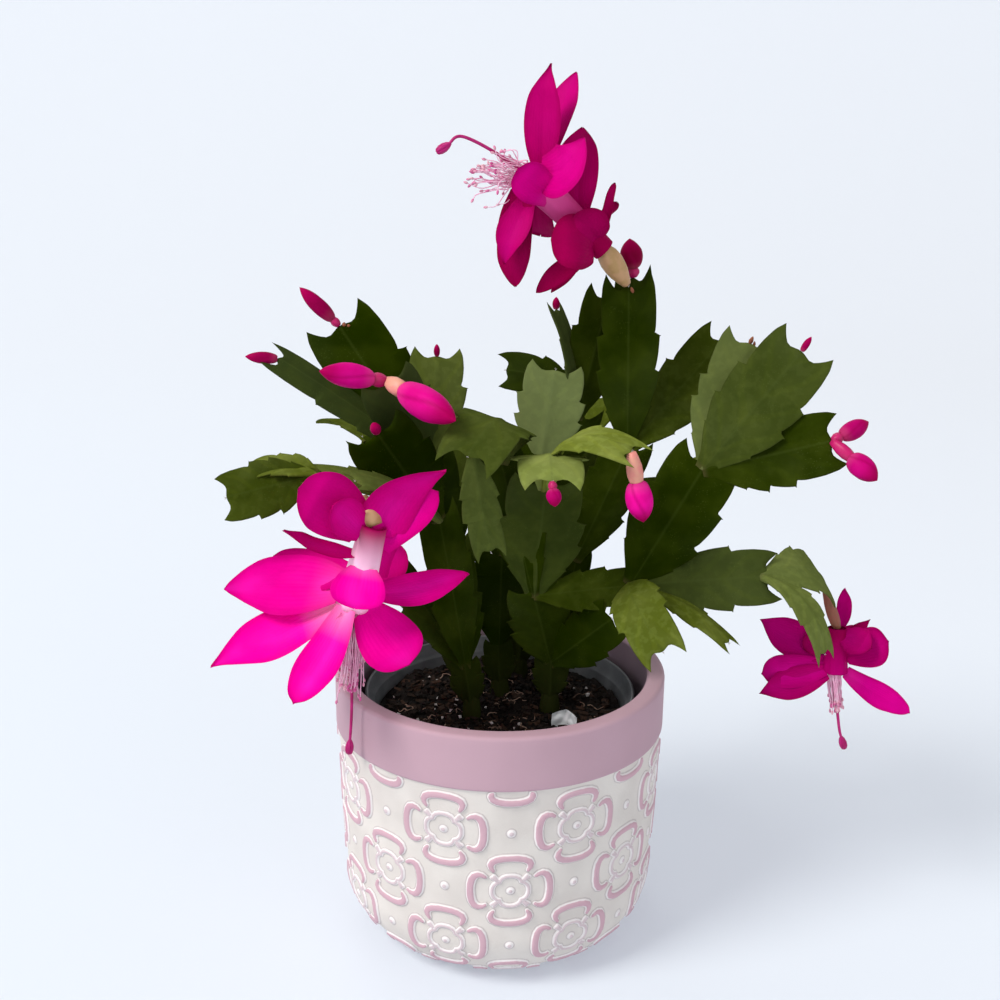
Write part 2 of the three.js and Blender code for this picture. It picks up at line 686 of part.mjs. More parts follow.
function styleSolid(bloom) {
  const neck = vector(bloom.neck);
  const throat = vector(bloom.throat);
  const axis = throat.clone().sub(neck).normalize();
  const stigma = vector(bloom.stigma);
  const curve = new THREE.CatmullRomCurve3([
    neck.clone().addScaledVector(axis, POCKET_FLOOR + SEAT_GAP),
    throat,
    vector(bloom.crest),
    stigma,
  ]);
  const heading = curve.getTangent(1);
  const lobes = turned([[0, 0], [1.2, 1], [2, 3.5], [1.2, 5.5], [0, 6]], 6);
  const start = stigma.clone().addScaledVector(heading, -2);
  return solidOf(bar(curve, STYLE_RADIUS, STYLE_SIDES, STYLE_STEPS)).add(
    solidOf(placed(lobes, start, start.clone().add(heading))),
  );
}

function stamenSolid(bloom) {
  const neck = vector(bloom.neck);
  const throat = vector(bloom.throat);
  const end = vector(bloom.stamens);
  const axis = throat.clone().sub(neck).normalize();
  const place = POCKET_FLOOR + SEAT_GAP;
  const outer = bloom.radius * NECK_SHARE - TUBE_WALL - 1.3 * SEAT_GAP;
  const collar = turned([
    [COLLAR_HOLE, place],
    [outer, place],
    [outer, place + COLLAR_LENGTH],
    [COLLAR_HOLE, place + COLLAR_LENGTH],
    [COLLAR_HOLE, place],
  ], TUBE_SIDES);
  const pieces = [solidOf(placed(collar, neck, throat))];
  const right = new THREE.Vector3(1, 0, 0).cross(axis).normalize();
  const ahead = axis.clone().cross(right);
  const ring = (COLLAR_HOLE + outer) / 2;
  for (let i = 0; i < FILAMENTS; i += 1) {
    const turn = ((i + 0.5) / FILAMENTS) * 2 * Math.PI;
    const spoke = right.clone().multiplyScalar(Math.cos(turn)).addScaledVector(ahead, Math.sin(turn));
    const reach = i % 2 === 0 ? 1 : 0.84;
    const start = neck.clone().addScaledVector(axis, place + COLLAR_LENGTH / 2).addScaledVector(spoke, ring);
    const mouth = throat.clone().addScaledVector(spoke, ring);
    const spread = STAMEN_SPREAD * (0.7 + 0.3 * reach);
    const tip = throat.clone().lerp(end, reach).addScaledVector(spoke, spread);
    const curve = new THREE.CatmullRomCurve3([start, mouth, tip]);
    pieces.push(solidOf(bar(curve, FILAMENT_RADIUS, 3, 3)));
    const anther = new THREE.OctahedronGeometry(ANTHER_RADIUS);
    anther.translate(tip.x, tip.y, tip.z);
    pieces.push(solidOf(anther));
  }
  return fused(pieces);
}

// Materials, in the plain colours of each kind of piece
function material(color, roughness) {
  return new THREE.MeshStandardMaterial({ color, roughness, metalness: 0 });
}

const MATERIALS = {
  pot: material(0xd9bfd0, 0.75),
  innerPot: material(0x5b5d60, 0.5),
  soil: material(0x2a1d17, 0.95),
  label: material(0xf2f2f0, 0.6),
  stem: material(0x3f5a1e, 0.45),
  tepal: material(0xd6008f, 0.45),
  ovary: material(0xdca283, 0.5),
  stamen: material(0xf2b9d2, 0.5),
  style: material(0xb3125f, 0.4),
};

const plant = new THREE.Group();

function addPiece(name, solid, finish) {
  const mesh = new THREE.Mesh(geometryOf(solid), finish);
  mesh.name = name;
  plant.add(mesh);
}

// Pots, soil and label
const rootHoles = Object.values(STEMS).map((stem) => rootSolid(stem.root, ROOT_ROOM, ROOT_TOP));
const labelSlot = labelSolid(LABEL_ROOM, LABEL.bottom - LABEL_ROOM);
addPiece("pot", potSolid(), MATERIALS.pot);
addPiece("inner_pot", innerPotSolid(), MATERIALS.innerPot);
addPiece("soil", soilSolid([...rootHoles, labelSlot]), MATERIALS.soil);
addPiece("label", labelSolid(0, LABEL.bottom), MATERIALS.label);

// Stems
const stemSolids = {};
const areoles = {};
for (const [name, stem] of Object.entries(STEMS)) {
  stemSolids[name] = stemSolid(stem);
  addPiece(name, stemSolids[name], MATERIALS.stem);
  segmentsOf(stem).forEach((segment) => {
    areoles[segment.name] = segment.to;
  });
}

// Buds
for (const [name, stemName, bearer, x, y, z, radius, ovaryLength] of BUDS) {
  const from = areoles[bearer];
  const tip = new THREE.Vector3(x, y, z);
  const direction = tip.clone().sub(from).normalize();
  const solids = Object.entries(budGeometries(from, tip, radius, ovaryLength))
    .map(([kind, geometry]) => [kind, solidOf(geometry)]);
  const whole = joined(solids.map(([, solid]) => solid));
  const shift = seatShift(
    (distance) => whole.translate(direction.clone().multiplyScalar(distance).toArray()),
    stemSolids[stemName],
  );
  for (const [kind, solid] of solids) {
    const moved = solid.translate(direction.clone().multiplyScalar(shift).toArray());
    const ending = kind === "ovary" ? "_ovary" : "";
    addPiece(name + ending, moved, kind === "ovary" ? MATERIALS.ovary : MATERIALS.tepal);
  }
}

// Blooms
for (const [name, bloom] of Object.entries(BLOOMS)) {
  const areole = areoles[bloom.bearer];
  const direction = vector(bloom.neck).sub(areole).normalize();
  const baseAt = (distance) => areole.clone().addScaledVector(direction, distance);
  const shift = seatShift((distance) => ovarySolid(bloom, baseAt(distance), 0), stemSolids[bloom.stem]);
  addPiece(name + "_ovary", ovarySolid(bloom, baseAt(shift), 0), MATERIALS.ovary);
  addPiece(name + "_petals", perianthSolid(bloom, baseAt(shift)), MATERIALS.tepal);
  addPiece(name + "_stamens", stamenSolid(bloom), MATERIALS.stamen);
  addPiece(name + "_style", styleSolid(bloom), MATERIALS.style);
}

export default plant;
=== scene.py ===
"""A potted christmas cactus in bloom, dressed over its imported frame.

Shapes are worked out in millimetres in the frame's own axes and become metres when a piece is made.
"""

import math

import bpy
import numpy as np
from mathutils import Matrix, Vector, noise


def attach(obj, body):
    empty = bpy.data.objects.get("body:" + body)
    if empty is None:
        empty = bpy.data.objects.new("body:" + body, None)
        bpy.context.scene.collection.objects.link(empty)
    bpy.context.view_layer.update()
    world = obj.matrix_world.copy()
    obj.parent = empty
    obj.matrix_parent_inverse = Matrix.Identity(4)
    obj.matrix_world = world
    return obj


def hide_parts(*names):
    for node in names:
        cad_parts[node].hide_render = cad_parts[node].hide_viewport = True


MM = 0.001

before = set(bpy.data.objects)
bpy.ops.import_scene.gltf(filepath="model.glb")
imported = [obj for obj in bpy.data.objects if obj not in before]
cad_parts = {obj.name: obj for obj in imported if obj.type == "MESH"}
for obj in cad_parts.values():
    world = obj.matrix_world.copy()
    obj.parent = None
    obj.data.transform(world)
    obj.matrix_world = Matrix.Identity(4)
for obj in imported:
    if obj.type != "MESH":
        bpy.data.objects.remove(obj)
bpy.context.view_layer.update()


# Camera at the photograph's viewing angle

CAMERA_PLACE = (-0.0008, -0.4776, 0.3144)
CAMERA_DOWN = 16.22
CAMERA_ROLL = 0.68
CAMERA_LENS = 46.8
CAMERA_NEAREST = 0.01

camera_data = bpy.data.cameras.new("camera")
camera_data.lens = CAMERA_LENS
camera_data.clip_start = CAMERA_NEAREST
camera = bpy.data.objects.new("camera", camera_data)
camera.location = CAMERA_PLACE
aim = Matrix.Rotation(math.radians(90 - CAMERA_DOWN), 4, "X")
camera.rotation_euler = (aim @ Matrix.Rotation(math.radians(CAMERA_ROLL), 4, "Z")).to_euler()
bpy.context.scene.collection.objects.link(camera)
bpy.context.scene.camera = camera


# Plain colours, with no film curve

bpy.context.scene.view_settings.view_transform = "Standard"


# Light

KEY_PLACE = (-1.9, -1.2, 2.4)
KEY_TARGET = (0, 0, 0.15)
FILL_PLACE = (0.9, -1.1, 0.8)
BACK_PLACE = (-0.6, 1.9, 2.2)
BACK_TARGET = (0, 0, 0.2)
WORLD_COLOUR = (0.96, 0.98, 1.0, 1)
WORLD_STRENGTH = 0.58


def area_light(name, place, target, width, watts, colour):
    """A round lamp that faces its target."""
    data = bpy.data.lights.new(name, "AREA")
    data.shape = "DISK"
    data.size = width
    data.energy = watts
    data.color = colour
    lamp = bpy.data.objects.new(name, data)
    lamp.location = place
    lamp.rotation_euler = (Vector(target) - Vector(place)).to_track_quat("-Z", "Y").to_euler()
    bpy.context.scene.collection.objects.link(lamp)


area_light("key_light", KEY_PLACE, KEY_TARGET, width=1.4, watts=78, colour=(1.0, 0.975, 0.945))
area_light("fill_light", FILL_PLACE, KEY_TARGET, width=1.0, watts=2, colour=(0.97, 0.98, 1.0))
area_light("back_light", BACK_PLACE, BACK_TARGET, width=1.2, watts=7, colour=(1.0, 0.99, 0.97))

world = bpy.data.worlds.new("studio")
bpy.context.scene.world = world
world.use_nodes = True
world.node_tree.nodes["Background"].inputs["Color"].default_value = WORLD_COLOUR
world.node_tree.nodes["Background"].inputs["Strength"].default_value = WORLD_STRENGTH


# Building materials

SOCKET_KINDS = {"number": "NodeSocketFloat", "colour": "NodeSocketColor", "vector": "NodeSocketVector"}

# Places of the colour sockets of a Mix node, which hidden sockets of the same name come before
MIX_SHARE = 0
MIX_FIRST = 6
MIX_SECOND = 7
MIX_RESULT = 2


def link(tree, outlet, inlet):
    """Joins an outlet of one node to an inlet of another."""
    tree.links.new(outlet, inlet)


def feed(tree, inlet, value):
    """Gives an input a plain value, or links a socket to it."""
    if isinstance(value, (int, float, tuple)):
        inlet.default_value = value
    else:
        link(tree, value, inlet)


def node_of(tree, kind, **values):
    """A new node of a kind, with its settings."""
    node = tree.nodes.new(kind)
    for name, value in values.items():
        setattr(node, name, value)
    return node


def new_group(name, inputs, outputs):
    """An empty node group with named number, colour and vector sockets."""
    tree = bpy.data.node_groups.new(name, "ShaderNodeTree")
    for label, kind, default in inputs:
        socket = tree.interface.new_socket(name=label, in_out="INPUT", socket_type=SOCKET_KINDS[kind])
        if default is not None:
            socket.default_value = default
    for label, kind in outputs:
        tree.interface.new_socket(name=label, in_out="OUTPUT", socket_type=SOCKET_KINDS[kind])
    start = node_of(tree, "NodeGroupInput")
    end = node_of(tree, "NodeGroupOutput")
    return tree, start.outputs, end.inputs


def maths(tree, operation, first, second=None, clamp=False):
    """One Math node, whose inputs are sockets or plain numbers."""
    node = node_of(tree, "ShaderNodeMath", operation=operation, use_clamp=clamp)
    feed(tree, node.inputs[0], first)
    if second is not None:
        feed(tree, node.inputs[1], second)
    return node.outputs[0]


def blend_colours(tree, share, first, second, mode="MIX"):
    """One colour Mix node, whose inputs are sockets or plain values."""
    node = node_of(tree, "ShaderNodeMix", data_type="RGBA", blend_type=mode)
    feed(tree, node.inputs[MIX_SHARE], share)
    feed(tree, node.inputs[MIX_FIRST], first)
    feed(tree, node.inputs[MIX_SECOND], second)
    return node.outputs[MIX_RESULT]


def soft_step(tree, value, low, high):
    """0 below low, 1 above high and smooth in between."""
    node = node_of(tree, "ShaderNodeMapRange", interpolation_type="SMOOTHSTEP")
    link(tree, value, node.inputs["Value"])
    node.inputs["From Min"].default_value = low
    node.inputs["From Max"].default_value = high
    return node.outputs["Result"]


def placed_noise(tree, scale, detail):
    """Noise in the object's own coordinates, at a scale given per metre."""
    node = node_of(tree, "ShaderNodeTexNoise")
    node.inputs["Detail"].default_value = detail
    feed(tree, node.inputs["Scale"], scale)
    link(tree, node_of(tree, "ShaderNodeTexCoord").outputs["Object"], node.inputs["Vector"])
    return node.outputs["Fac"]


def build_mottle():
    """Large soft patches of a second colour over a first."""
    tree, given, out = new_group(
        "mottle",
        [("Colour", "colour", None), ("Patch Colour", "colour", None),
         ("Scale", "number", 60.0), ("Amount", "number", 0.4)],
        [("Colour", "colour")],
    )
    patches = soft_step(tree, placed_noise(tree, given["Scale"], detail=2.0), low=0.38, high=0.66)
    share = maths(tree, "MULTIPLY", patches, given["Amount"])
    link(tree, blend_colours(tree, share, given["Colour"], given["Patch Colour"]), out["Colour"])
    return tree


def build_fine_grain():
    """Fine even grain that bends the normal and spreads the roughness a little."""
    tree, given, out = new_group(
        "fine_grain",
        [("Scale", "number", 900.0), ("Strength", "number", 0.2), ("Depth", "number", 0.0002),
         ("Roughness", "number", 0.5), ("Spread", "number", 0.1), ("Normal", "vector", None)],
        [("Normal", "vector"), ("Roughness", "number")],
    )
    grain = placed_noise(tree, given["Scale"], detail=2.0)
    bump = node_of(tree, "ShaderNodeBump")
    link(tree, given["Strength"], bump.inputs["Strength"])
    link(tree, given["Depth"], bump.inputs["Distance"])
    link(tree, grain, bump.inputs["Height"])
    link(tree, given["Normal"], bump.inputs["Normal"])
    link(tree, bump.outputs["Normal"], out["Normal"])
    swing = maths(tree, "MULTIPLY", maths(tree, "SUBTRACT", grain, 0.5), given["Spread"])
    link(tree, maths(tree, "ADD", given["Roughness"], swing, clamp=True), out["Roughness"])
    return tree


def build_fleck():
    """Small scattered spots of another colour."""
    tree, given, out = new_group(
        "fleck",
        [("Colour", "colour", None), ("Fleck Colour", "colour", None),
         ("Scale", "number", 400.0), ("Size", "number", 0.12), ("Amount", "number", 0.5)],
        [("Colour", "colour")],
    )
    cells = node_of(tree, "ShaderNodeTexVoronoi")
    link(tree, node_of(tree, "ShaderNodeTexCoord").outputs["Object"], cells.inputs["Vector"])
    link(tree, given["Scale"], cells.inputs["Scale"])
    inside = maths(tree, "LESS_THAN", cells.outputs["Distance"], given["Size"])
    rare = soft_step(tree, placed_noise(tree, 90.0, detail=1.0), low=0.5, high=0.62)
    mask = maths(tree, "MULTIPLY", maths(tree, "MULTIPLY", inside, rare), given["Amount"])
    link(tree, blend_colours(tree, mask, given["Colour"], given["Fleck Colour"]), out["Colour"])
    return tree


GROUPS = {"mottle": build_mottle(), "fine_grain": build_fine_grain(), "fleck": build_fleck()}
GRAIN_DEPTH = 0.0002


class Finish:
    """A material with its Principled BSDF and helpers that place nodes and groups in it."""

    def __init__(self, name, roughness, specular):
        self.material = bpy.data.materials.new(name)
        self.material.use_nodes = True
        self.tree = self.material.node_tree
        self.shader = self.tree.nodes["Principled BSDF"]
        self.roughness = roughness
        self.set(Roughness=roughness, Specular_IOR_Level=specular)

    def set(self, **values):
        """Feeds inputs of the shader, whose names have _ for a space, and returns the material."""
        for label, value in values.items():
            feed(self.tree, self.shader.inputs[label.replace("_", " ")], value)
        return self.material

    def group(self, name, **values):
        """Places a node group, whose input names have _ for a space, and returns its outputs."""
        node = node_of(self.tree, "ShaderNodeGroup", node_tree=GROUPS[name])
        for label, value in values.items():
            feed(self.tree, node.inputs[label.replace("_", " ")], value)
        return node.outputs

    def value(self, name):
        """A value that the mesh carries at its corners."""
        return node_of(self.tree, "ShaderNodeAttribute", attribute_name=name).outputs["Fac"]

    def maths(self, operation, first, second=None):
        return maths(self.tree, operation, first, second)

    def times(self, first, second):
        return maths(self.tree, "MULTIPLY", first, second)

    def rest_of(self, value):
        """What a value leaves of 1."""
        return maths(self.tree, "SUBTRACT", 1.0, value)

    def step(self, value, low, high):
        return soft_step(self.tree, value, low, high)

    def mask(self, value, low, high, share):
        """0 below low, share above high and smooth in between."""
        return self.times(self.step(value, low, high), share)

    def mix(self, share, first, second):
        return blend_colours(self.tree, share, first, second)

    def tint(self, share, colour, factors):
        """Multiplies a colour by factors, as far as the share says."""
        return blend_colours(self.tree, share, colour, factors, "MULTIPLY")

    def noise(self, scale, detail):
        return placed_noise(self.tree, scale, detail)

    def bump(self, height, strength, depth):
        node = node_of(self.tree, "ShaderNodeBump")
        node.inputs["Strength"].default_value = strength
        node.inputs["Distance"].default_value = depth
        link(self.tree, height, node.inputs["Height"])
        return node.outputs["Normal"]

    def grained(self, scale, strength, spread, depth=GRAIN_DEPTH, **over):
        """Lays the fine grain over the finish, on top of a Normal if one is given."""
        grain = self.group("fine_grain", Scale=scale, Strength=strength, Depth=depth,
                           Roughness=self.roughness, Spread=spread, **over)
        return self.set(Normal=grain["Normal"], Roughness=grain["Roughness"])


# Leaf skin

LEAF_DARK = (0.010, 0.019, 0.0, 1)
LEAF_LIGHT = (0.215, 0.260, 0.030, 1)
LEAF_DARK_PATCH = (0.021, 0.033, 0.001, 1)
LEAF_LIGHT_PATCH = (0.280, 0.320, 0.060, 1)
LEAF_NET = (0.33, 0.40, 0.10, 1)
LEAF_FLECK = (0.11, 0.14, 0.04, 1)
LEAF_PAINTED_SHEEN_FACTORS = (1.75, 1.7, 1.5, 1)
LEAF_PAINTED_SHEEN = (0.17, 0.20, 0.09, 1)
LEAF_EDGE = (0.03, 0.035, 0.008, 1)
LEAF_RIB = (0.055, 0.075, 0.015, 1)
LEAF_JOINT = (0.08, 0.065, 0.025, 1)
LEAF_PAINTED_GREY_SHEEN = (0.175, 0.215, 0.095, 1)
LEAF_WOOD = (0.022, 0.025, 0.007, 1)
LEAF_TONE_POWER = 2.2
SIDE_VEINS = 26.0
SIDE_VEIN_SLANT = 9.0
SIDE_VEIN_WANDER = 7.0


def leaf_finish():
    """Waxy green skin with side veins, a darker edge, a faint rib and brown joints, and painted sheen: light
    patches, light streaks along the side veins and a greyish sheen on some segments.
    """
    finish = Finish("cactus_skin", roughness=0.42, specular=0.0)
    given = finish.value("tone")
    tone = finish.maths("POWER", given, LEAF_TONE_POWER)
    across = finish.value("across")
    along = finish.value("along")

    dark = finish.mix(tone, LEAF_DARK, LEAF_LIGHT)
    patch = finish.mix(tone, LEAF_DARK_PATCH, LEAF_LIGHT_PATCH)
    skin = finish.group("mottle", Colour=dark, Patch_Colour=patch, Scale=75.0, Amount=0.75)["Colour"]
    net = finish.times(finish.step(finish.noise(scale=330.0, detail=2.0), low=0.48, high=0.6), tone)
    netted = finish.mix(finish.times(net, 0.22), skin, LEAF_NET)
    flecked = finish.group("fleck", Colour=netted, Fleck_Colour=LEAF_FLECK,
                           Scale=1100.0, Size=0.16, Amount=0.25)["Colour"]

    # Painted sheen: lighter patches of the skin where a large cloud lies, stronger on lighter segments.
    cloud = finish.noise(scale=26.0, detail=2.0)
    painted_sheen_mask = finish.times(finish.step(cloud, low=0.45, high=0.72), finish.maths("ADD", tone, 0.12))
    sheen_lit_colour = finish.tint(1.0, flecked, LEAF_PAINTED_SHEEN_FACTORS)
    with_painted_sheen = finish.mix(painted_sheen_mask, flecked, finish.mix(0.35, sheen_lit_colour, LEAF_PAINTED_SHEEN))

    # Painted sheen along the side veins: lighter slanted streaks, strongest at middle tones and only where
    # the sheen cloud lies.
    slant = finish.maths("SUBTRACT", finish.times(along, SIDE_VEINS), finish.times(across, SIDE_VEIN_SLANT))
    wander = finish.times(finish.noise(scale=60.0, detail=2.0), SIDE_VEIN_WANDER)
    vein = finish.step(finish.maths("SINE", finish.maths("ADD", slant, wander)), low=0.3, high=0.95)
    half_grown = finish.times(given, finish.rest_of(given))
    shown = finish.times(vein, finish.times(half_grown, 1.1))
    shown = finish.times(shown, finish.step(cloud, low=0.3, high=0.6))
    sheen_streaked = finish.mix(shown, with_painted_sheen, sheen_lit_colour)

    edged = finish.mix(finish.mask(across, low=0.94, high=1.0, share=0.3), sheen_streaked, LEAF_EDGE)
    rib = finish.mask(finish.rest_of(across), low=0.93, high=1.0, share=0.2)
    ribbed = finish.mix(rib, edged, LEAF_RIB)
    joint = finish.mask(finish.rest_of(along), low=0.95, high=1.0, share=0.5)
    jointed = finish.mix(joint, ribbed, LEAF_JOINT)
    # Painted greyish sheen, as strong as each segment's share says.
    with_painted_grey_sheen = finish.mix(finish.value("haze"), jointed, LEAF_PAINTED_GREY_SHEEN)
    finish.set(Base_Color=finish.mix(finish.value("wood"), with_painted_grey_sheen, LEAF_WOOD))
    soft = finish.bump(finish.noise(scale=130.0, detail=1.0), strength=0.35, depth=0.0012)
    return finish.grained(scale=1500.0, strength=0.12, spread=0.2, Normal=soft)


# Petals, buds and soft tissue

PETAL_STREAK_FACTORS = (0.78, 0.7, 0.74, 1)
PETAL_MARGIN_FACTORS = (0.76, 0.6, 0.66, 1)
PETAL_TIP_FACTORS = (0.72, 0.6, 0.62, 1)
PETAL_PAINTED_GLOW_FACTORS = (0.3, 0.3, 0.3, 1)
PETAL_PAINTED_SHEEN = (0.93, 0.02, 0.62, 1)
PALE_PETAL = (0.98, 0.76, 0.92, 1)
PINK_PETAL = (0.86, 0.26, 0.50, 1)
PETAL_VEINS = 42.0

BUD_DARK = (0.22, 0.0, 0.035, 1)
BUD_BRIGHT = (0.80, 0.004, 0.29, 1)
BUD_TIP = (0.36, 0.0, 0.07, 1)
BUD_BASE = (0.80, 0.22, 0.28, 1)
BUD_SEAM = (0.30, 0.0, 0.06, 1)
BUD_PATCH_FACTORS = (0.75, 0.5, 0.6, 1)


def petal_finish(name, dark, bright, pale, painted_glow, painted_violet_sheen):
    """Thin silky petal: darker at the margins and the tip, with a painted violet sheen along the middle,
    pale at the base, and a painted glow from within when one is given.
    """
    finish = Finish(name, roughness=0.5, specular=0.015)
    tone = finish.value("tone")
    across = finish.value("across")
    along = finish.value("along")
    light = finish.value("light")

    silk = finish.mix(tone, dark, bright)
    streaks = finish.mask(finish.noise(scale=150.0, detail=4.0), low=0.35, high=0.7, share=0.3)
    streaked = finish.tint(streaks, silk, PETAL_STREAK_FACTORS)
    # Painted sheen: a violet tint on the middle of the petal where a cloud lies, as strong as the tone.
    middle = finish.rest_of(finish.step(across, low=0.1, high=0.7))
    cloud = finish.mask(finish.noise(scale=45.0, detail=2.0), low=0.35, high=0.65, share=painted_violet_sheen)
    painted_sheen_mask = finish.times(finish.times(middle, cloud), tone)
    with_violet_sheen = finish.mix(painted_sheen_mask, streaked, PETAL_PAINTED_SHEEN)
    margin = finish.mask(across, low=0.62, high=1.0, share=0.75)
    edged = finish.tint(margin, with_violet_sheen, PETAL_MARGIN_FACTORS)
    tip = finish.mask(along, low=0.8, high=1.0, share=0.6)
    tipped = finish.tint(tip, edged, PETAL_TIP_FACTORS)
    finish.set(Base_Color=finish.mix(light, tipped, pale))

    vein = finish.maths("SINE", finish.times(across, PETAL_VEINS))
    lines = finish.bump(finish.times(vein, finish.rest_of(along)), strength=0.12, depth=0.0004)
    finish.grained(scale=1300.0, strength=0.10, spread=0.15, Normal=lines)
    # Painted light: the petal glows a little from within, brightest where it is pale, though it is no lamp.
    if painted_glow > 0:
        painted_glow_colour = finish.mix(light, finish.tint(1.0, tipped, PETAL_PAINTED_GLOW_FACTORS), pale)
        finish.set(Emission_Strength=painted_glow, Emission_Color=painted_glow_colour)
    return finish.material


def flesh_finish(name, colour, patch, roughness):
    """Smooth soft tissue of ovaries, styles and anthers."""
    finish = Finish(name, roughness, specular=0.25)
    skin = finish.group("mottle", Colour=colour, Patch_Colour=patch, Scale=220.0, Amount=0.7)["Colour"]
    grain = finish.group("fine_grain", Scale=1600.0, Roughness=roughness, Spread=0.15)
    return finish.set(Base_Color=skin, Roughness=grain["Roughness"])


def bud_finish():
    """Closed petals, crimson at the tip and along the overlaps, paler at the base."""
    finish = Finish("bud_petals", roughness=0.42, specular=0.02)
    along = finish.value("along")
    fresh = finish.mix(finish.value("tone"), BUD_DARK, BUD_BRIGHT)
    body = finish.mix(finish.step(along, low=0.45, high=1.0), fresh, BUD_TIP)
    base = finish.rest_of(finish.step(along, low=0.0, high=0.3))
    based = finish.mix(finish.times(base, 0.15), body, BUD_BASE)
    seamed = finish.mix(finish.times(finish.value("across"), 0.5), based, BUD_SEAM)
    deeper = finish.tint(1.0, seamed, BUD_PATCH_FACTORS)
    skin = finish.group("mottle", Colour=seamed, Patch_Colour=deeper, Scale=140.0, Amount=0.4)["Colour"]
    finish.set(Base_Color=skin)
    return finish.grained(scale=1300.0, strength=0.12, spread=0.2)


# Paint, wash, plastic, soil, label and floor

BAND_PAINT = (0.474, 0.304, 0.356, 1)
BAND_PATCH = (0.520, 0.337, 0.394, 1)
BAND_INSIDE = (0.155, 0.120, 0.145, 1)
BAND_PIT = (0.12, 0.06, 0.08, 1)
WASH = (0.650, 0.598, 0.554, 1)
WASH_PATCH = (0.722, 0.672, 0.622, 1)
LINE_GRIME_AND_SHADE = (0.43, 0.37, 0.38, 1)
LINE_PAINTED_HIGHLIGHT = (0.88, 0.83, 0.84, 1)
ARC_PAINT = (0.570, 0.345, 0.405, 1)
SMALL_LINE_PAINT = (0.56, 0.42, 0.45, 1)
PLASTIC = (0.085, 0.09, 0.095, 1)
PLASTIC_SCUFF = (0.13, 0.135, 0.14, 1)
LABEL_WHITE = (0.80, 0.82, 0.83, 1)
LABEL_GREY = (0.66, 0.68, 0.70, 1)
FLOOR_COLOUR = (0.532, 0.572, 0.606, 1)
FLOOR_GLOW = (0.19, 0.206, 0.255, 1)
FLOOR_GLOW_FAR = (0.385, 0.365, 0.37, 1)


def paint_finish():
    """Smooth matt paint of the rim and the band, darker on the inside."""
    finish = Finish("band_paint", roughness=0.62, specular=0.2)
    paint = finish.group("mottle", Colour=BAND_PAINT, Patch_Colour=BAND_PATCH, Scale=22.0, Amount=0.6)
    shaded = finish.mix(finish.value("inside"), paint["Colour"], BAND_INSIDE)
    pitted = finish.group("fleck", Colour=shaded, Fleck_Colour=BAND_PIT, Scale=170.0, Size=0.055, Amount=0.6)
    finish.set(Base_Color=pitted["Colour"])
    soft = finish.bump(finish.noise(scale=60.0, detail=3.0), strength=0.15, depth=0.001)
    return finish.grained(scale=1800.0, strength=0.18, spread=0.12, Normal=soft)


def relief_finish():
    """Whitewashed relief: chalky ground, mauve on the tops of the lines, white shoulders that are a painted
    highlight, and grey at their foot that is partly grime and partly painted shade.
    """
    finish = Finish("whitewashed_relief", roughness=0.8, specular=0.15)
    arc = finish.value("arc")
    small = finish.value("small")
    cloud = finish.step(finish.noise(scale=55.0, detail=2.0), low=0.3, high=0.7)
    wash = finish.mix(cloud, WASH, WASH_PATCH)
    line = finish.maths("MAXIMUM", arc, small)
    # Grey at the foot of each line, partly grime and partly painted shade in the crease.
    rising = finish.step(line, low=0.02, high=0.2)
    foot = finish.times(rising, finish.rest_of(finish.step(line, low=0.25, high=0.4)))
    grimed_and_shaded = finish.mix(finish.times(foot, 0.6), wash, LINE_GRIME_AND_SHADE)
    # Painted highlight: white on the shoulders of every line.
    with_painted_highlight = finish.mix(finish.mask(line, low=0.3, high=0.5, share=0.65), grimed_and_shaded, LINE_PAINTED_HIGHLIGHT)
    wear = finish.times(finish.noise(scale=260.0, detail=3.0), 0.2)
    arc_top = finish.mask(finish.maths("ADD", arc, wear), low=0.68, high=0.82, share=0.92)
    painted = finish.mix(arc_top, with_painted_highlight, ARC_PAINT)
    small_top = finish.mask(finish.maths("ADD", small, wear), low=0.85, high=1.1, share=0.7)
    finish.set(Base_Color=finish.mix(small_top, painted, SMALL_LINE_PAINT))
    soft = finish.bump(finish.noise(scale=120.0, detail=2.0), strength=0.25, depth=0.001)
    return finish.grained(scale=1300.0, strength=0.3, spread=0.1, depth=0.0003, Normal=soft)


def plastic_finish():
    """Matt grey moulded plastic with light scuffs."""
    finish = Finish("grey_plastic", roughness=0.5, specular=0.4)
    scuffed = finish.group("mottle", Colour=PLASTIC, Patch_Colour=PLASTIC_SCUFF, Scale=120.0, Amount=0.6)
    finish.set(Base_Color=scuffed["Colour"])
    return finish.grained(scale=1500.0, strength=0.2, spread=0.3)


def soil_finish(name, dark, light, roughness):
    """Damp crumb, near black in the hollows."""
    finish = Finish(name, roughness, specular=0.15)
    crumb = finish.mix(finish.step(finish.value("height"), low=0.1, high=0.9), dark, light)
    mixed = finish.group("mottle", Colour=crumb, Patch_Colour=light, Scale=420.0, Amount=0.5)
    finish.set(Base_Color=mixed["Colour"])
    soft = finish.bump(finish.noise(scale=500.0, detail=5.0), strength=0.8, depth=0.0012)
    return finish.grained(scale=2200.0, strength=0.4, spread=0.3, depth=0.0004, Normal=soft)


def label_finish():
    """White plastic paper with faint creases."""
    finish = Finish("label_sheet", roughness=0.5, specular=0.4)
    sheet = finish.group("mottle", Colour=LABEL_WHITE, Patch_Colour=LABEL_GREY, Scale=150.0, Amount=0.5)
    finish.set(Base_Color=sheet["Colour"])
    return finish.grained(scale=1200.0, strength=0.15, spread=0.2)


def floor_finish():
    """Plain pale studio floor that is lit a little from within, so that it stays even."""
    finish = Finish("pale_floor", roughness=1.0, specular=0.0)
    within = finish.mix(finish.value("dim"), FLOOR_GLOW, FLOOR_GLOW_FAR)
    return finish.set(Base_Color=FLOOR_COLOUR, Emission_Color=within, Emission_Strength=1.0)


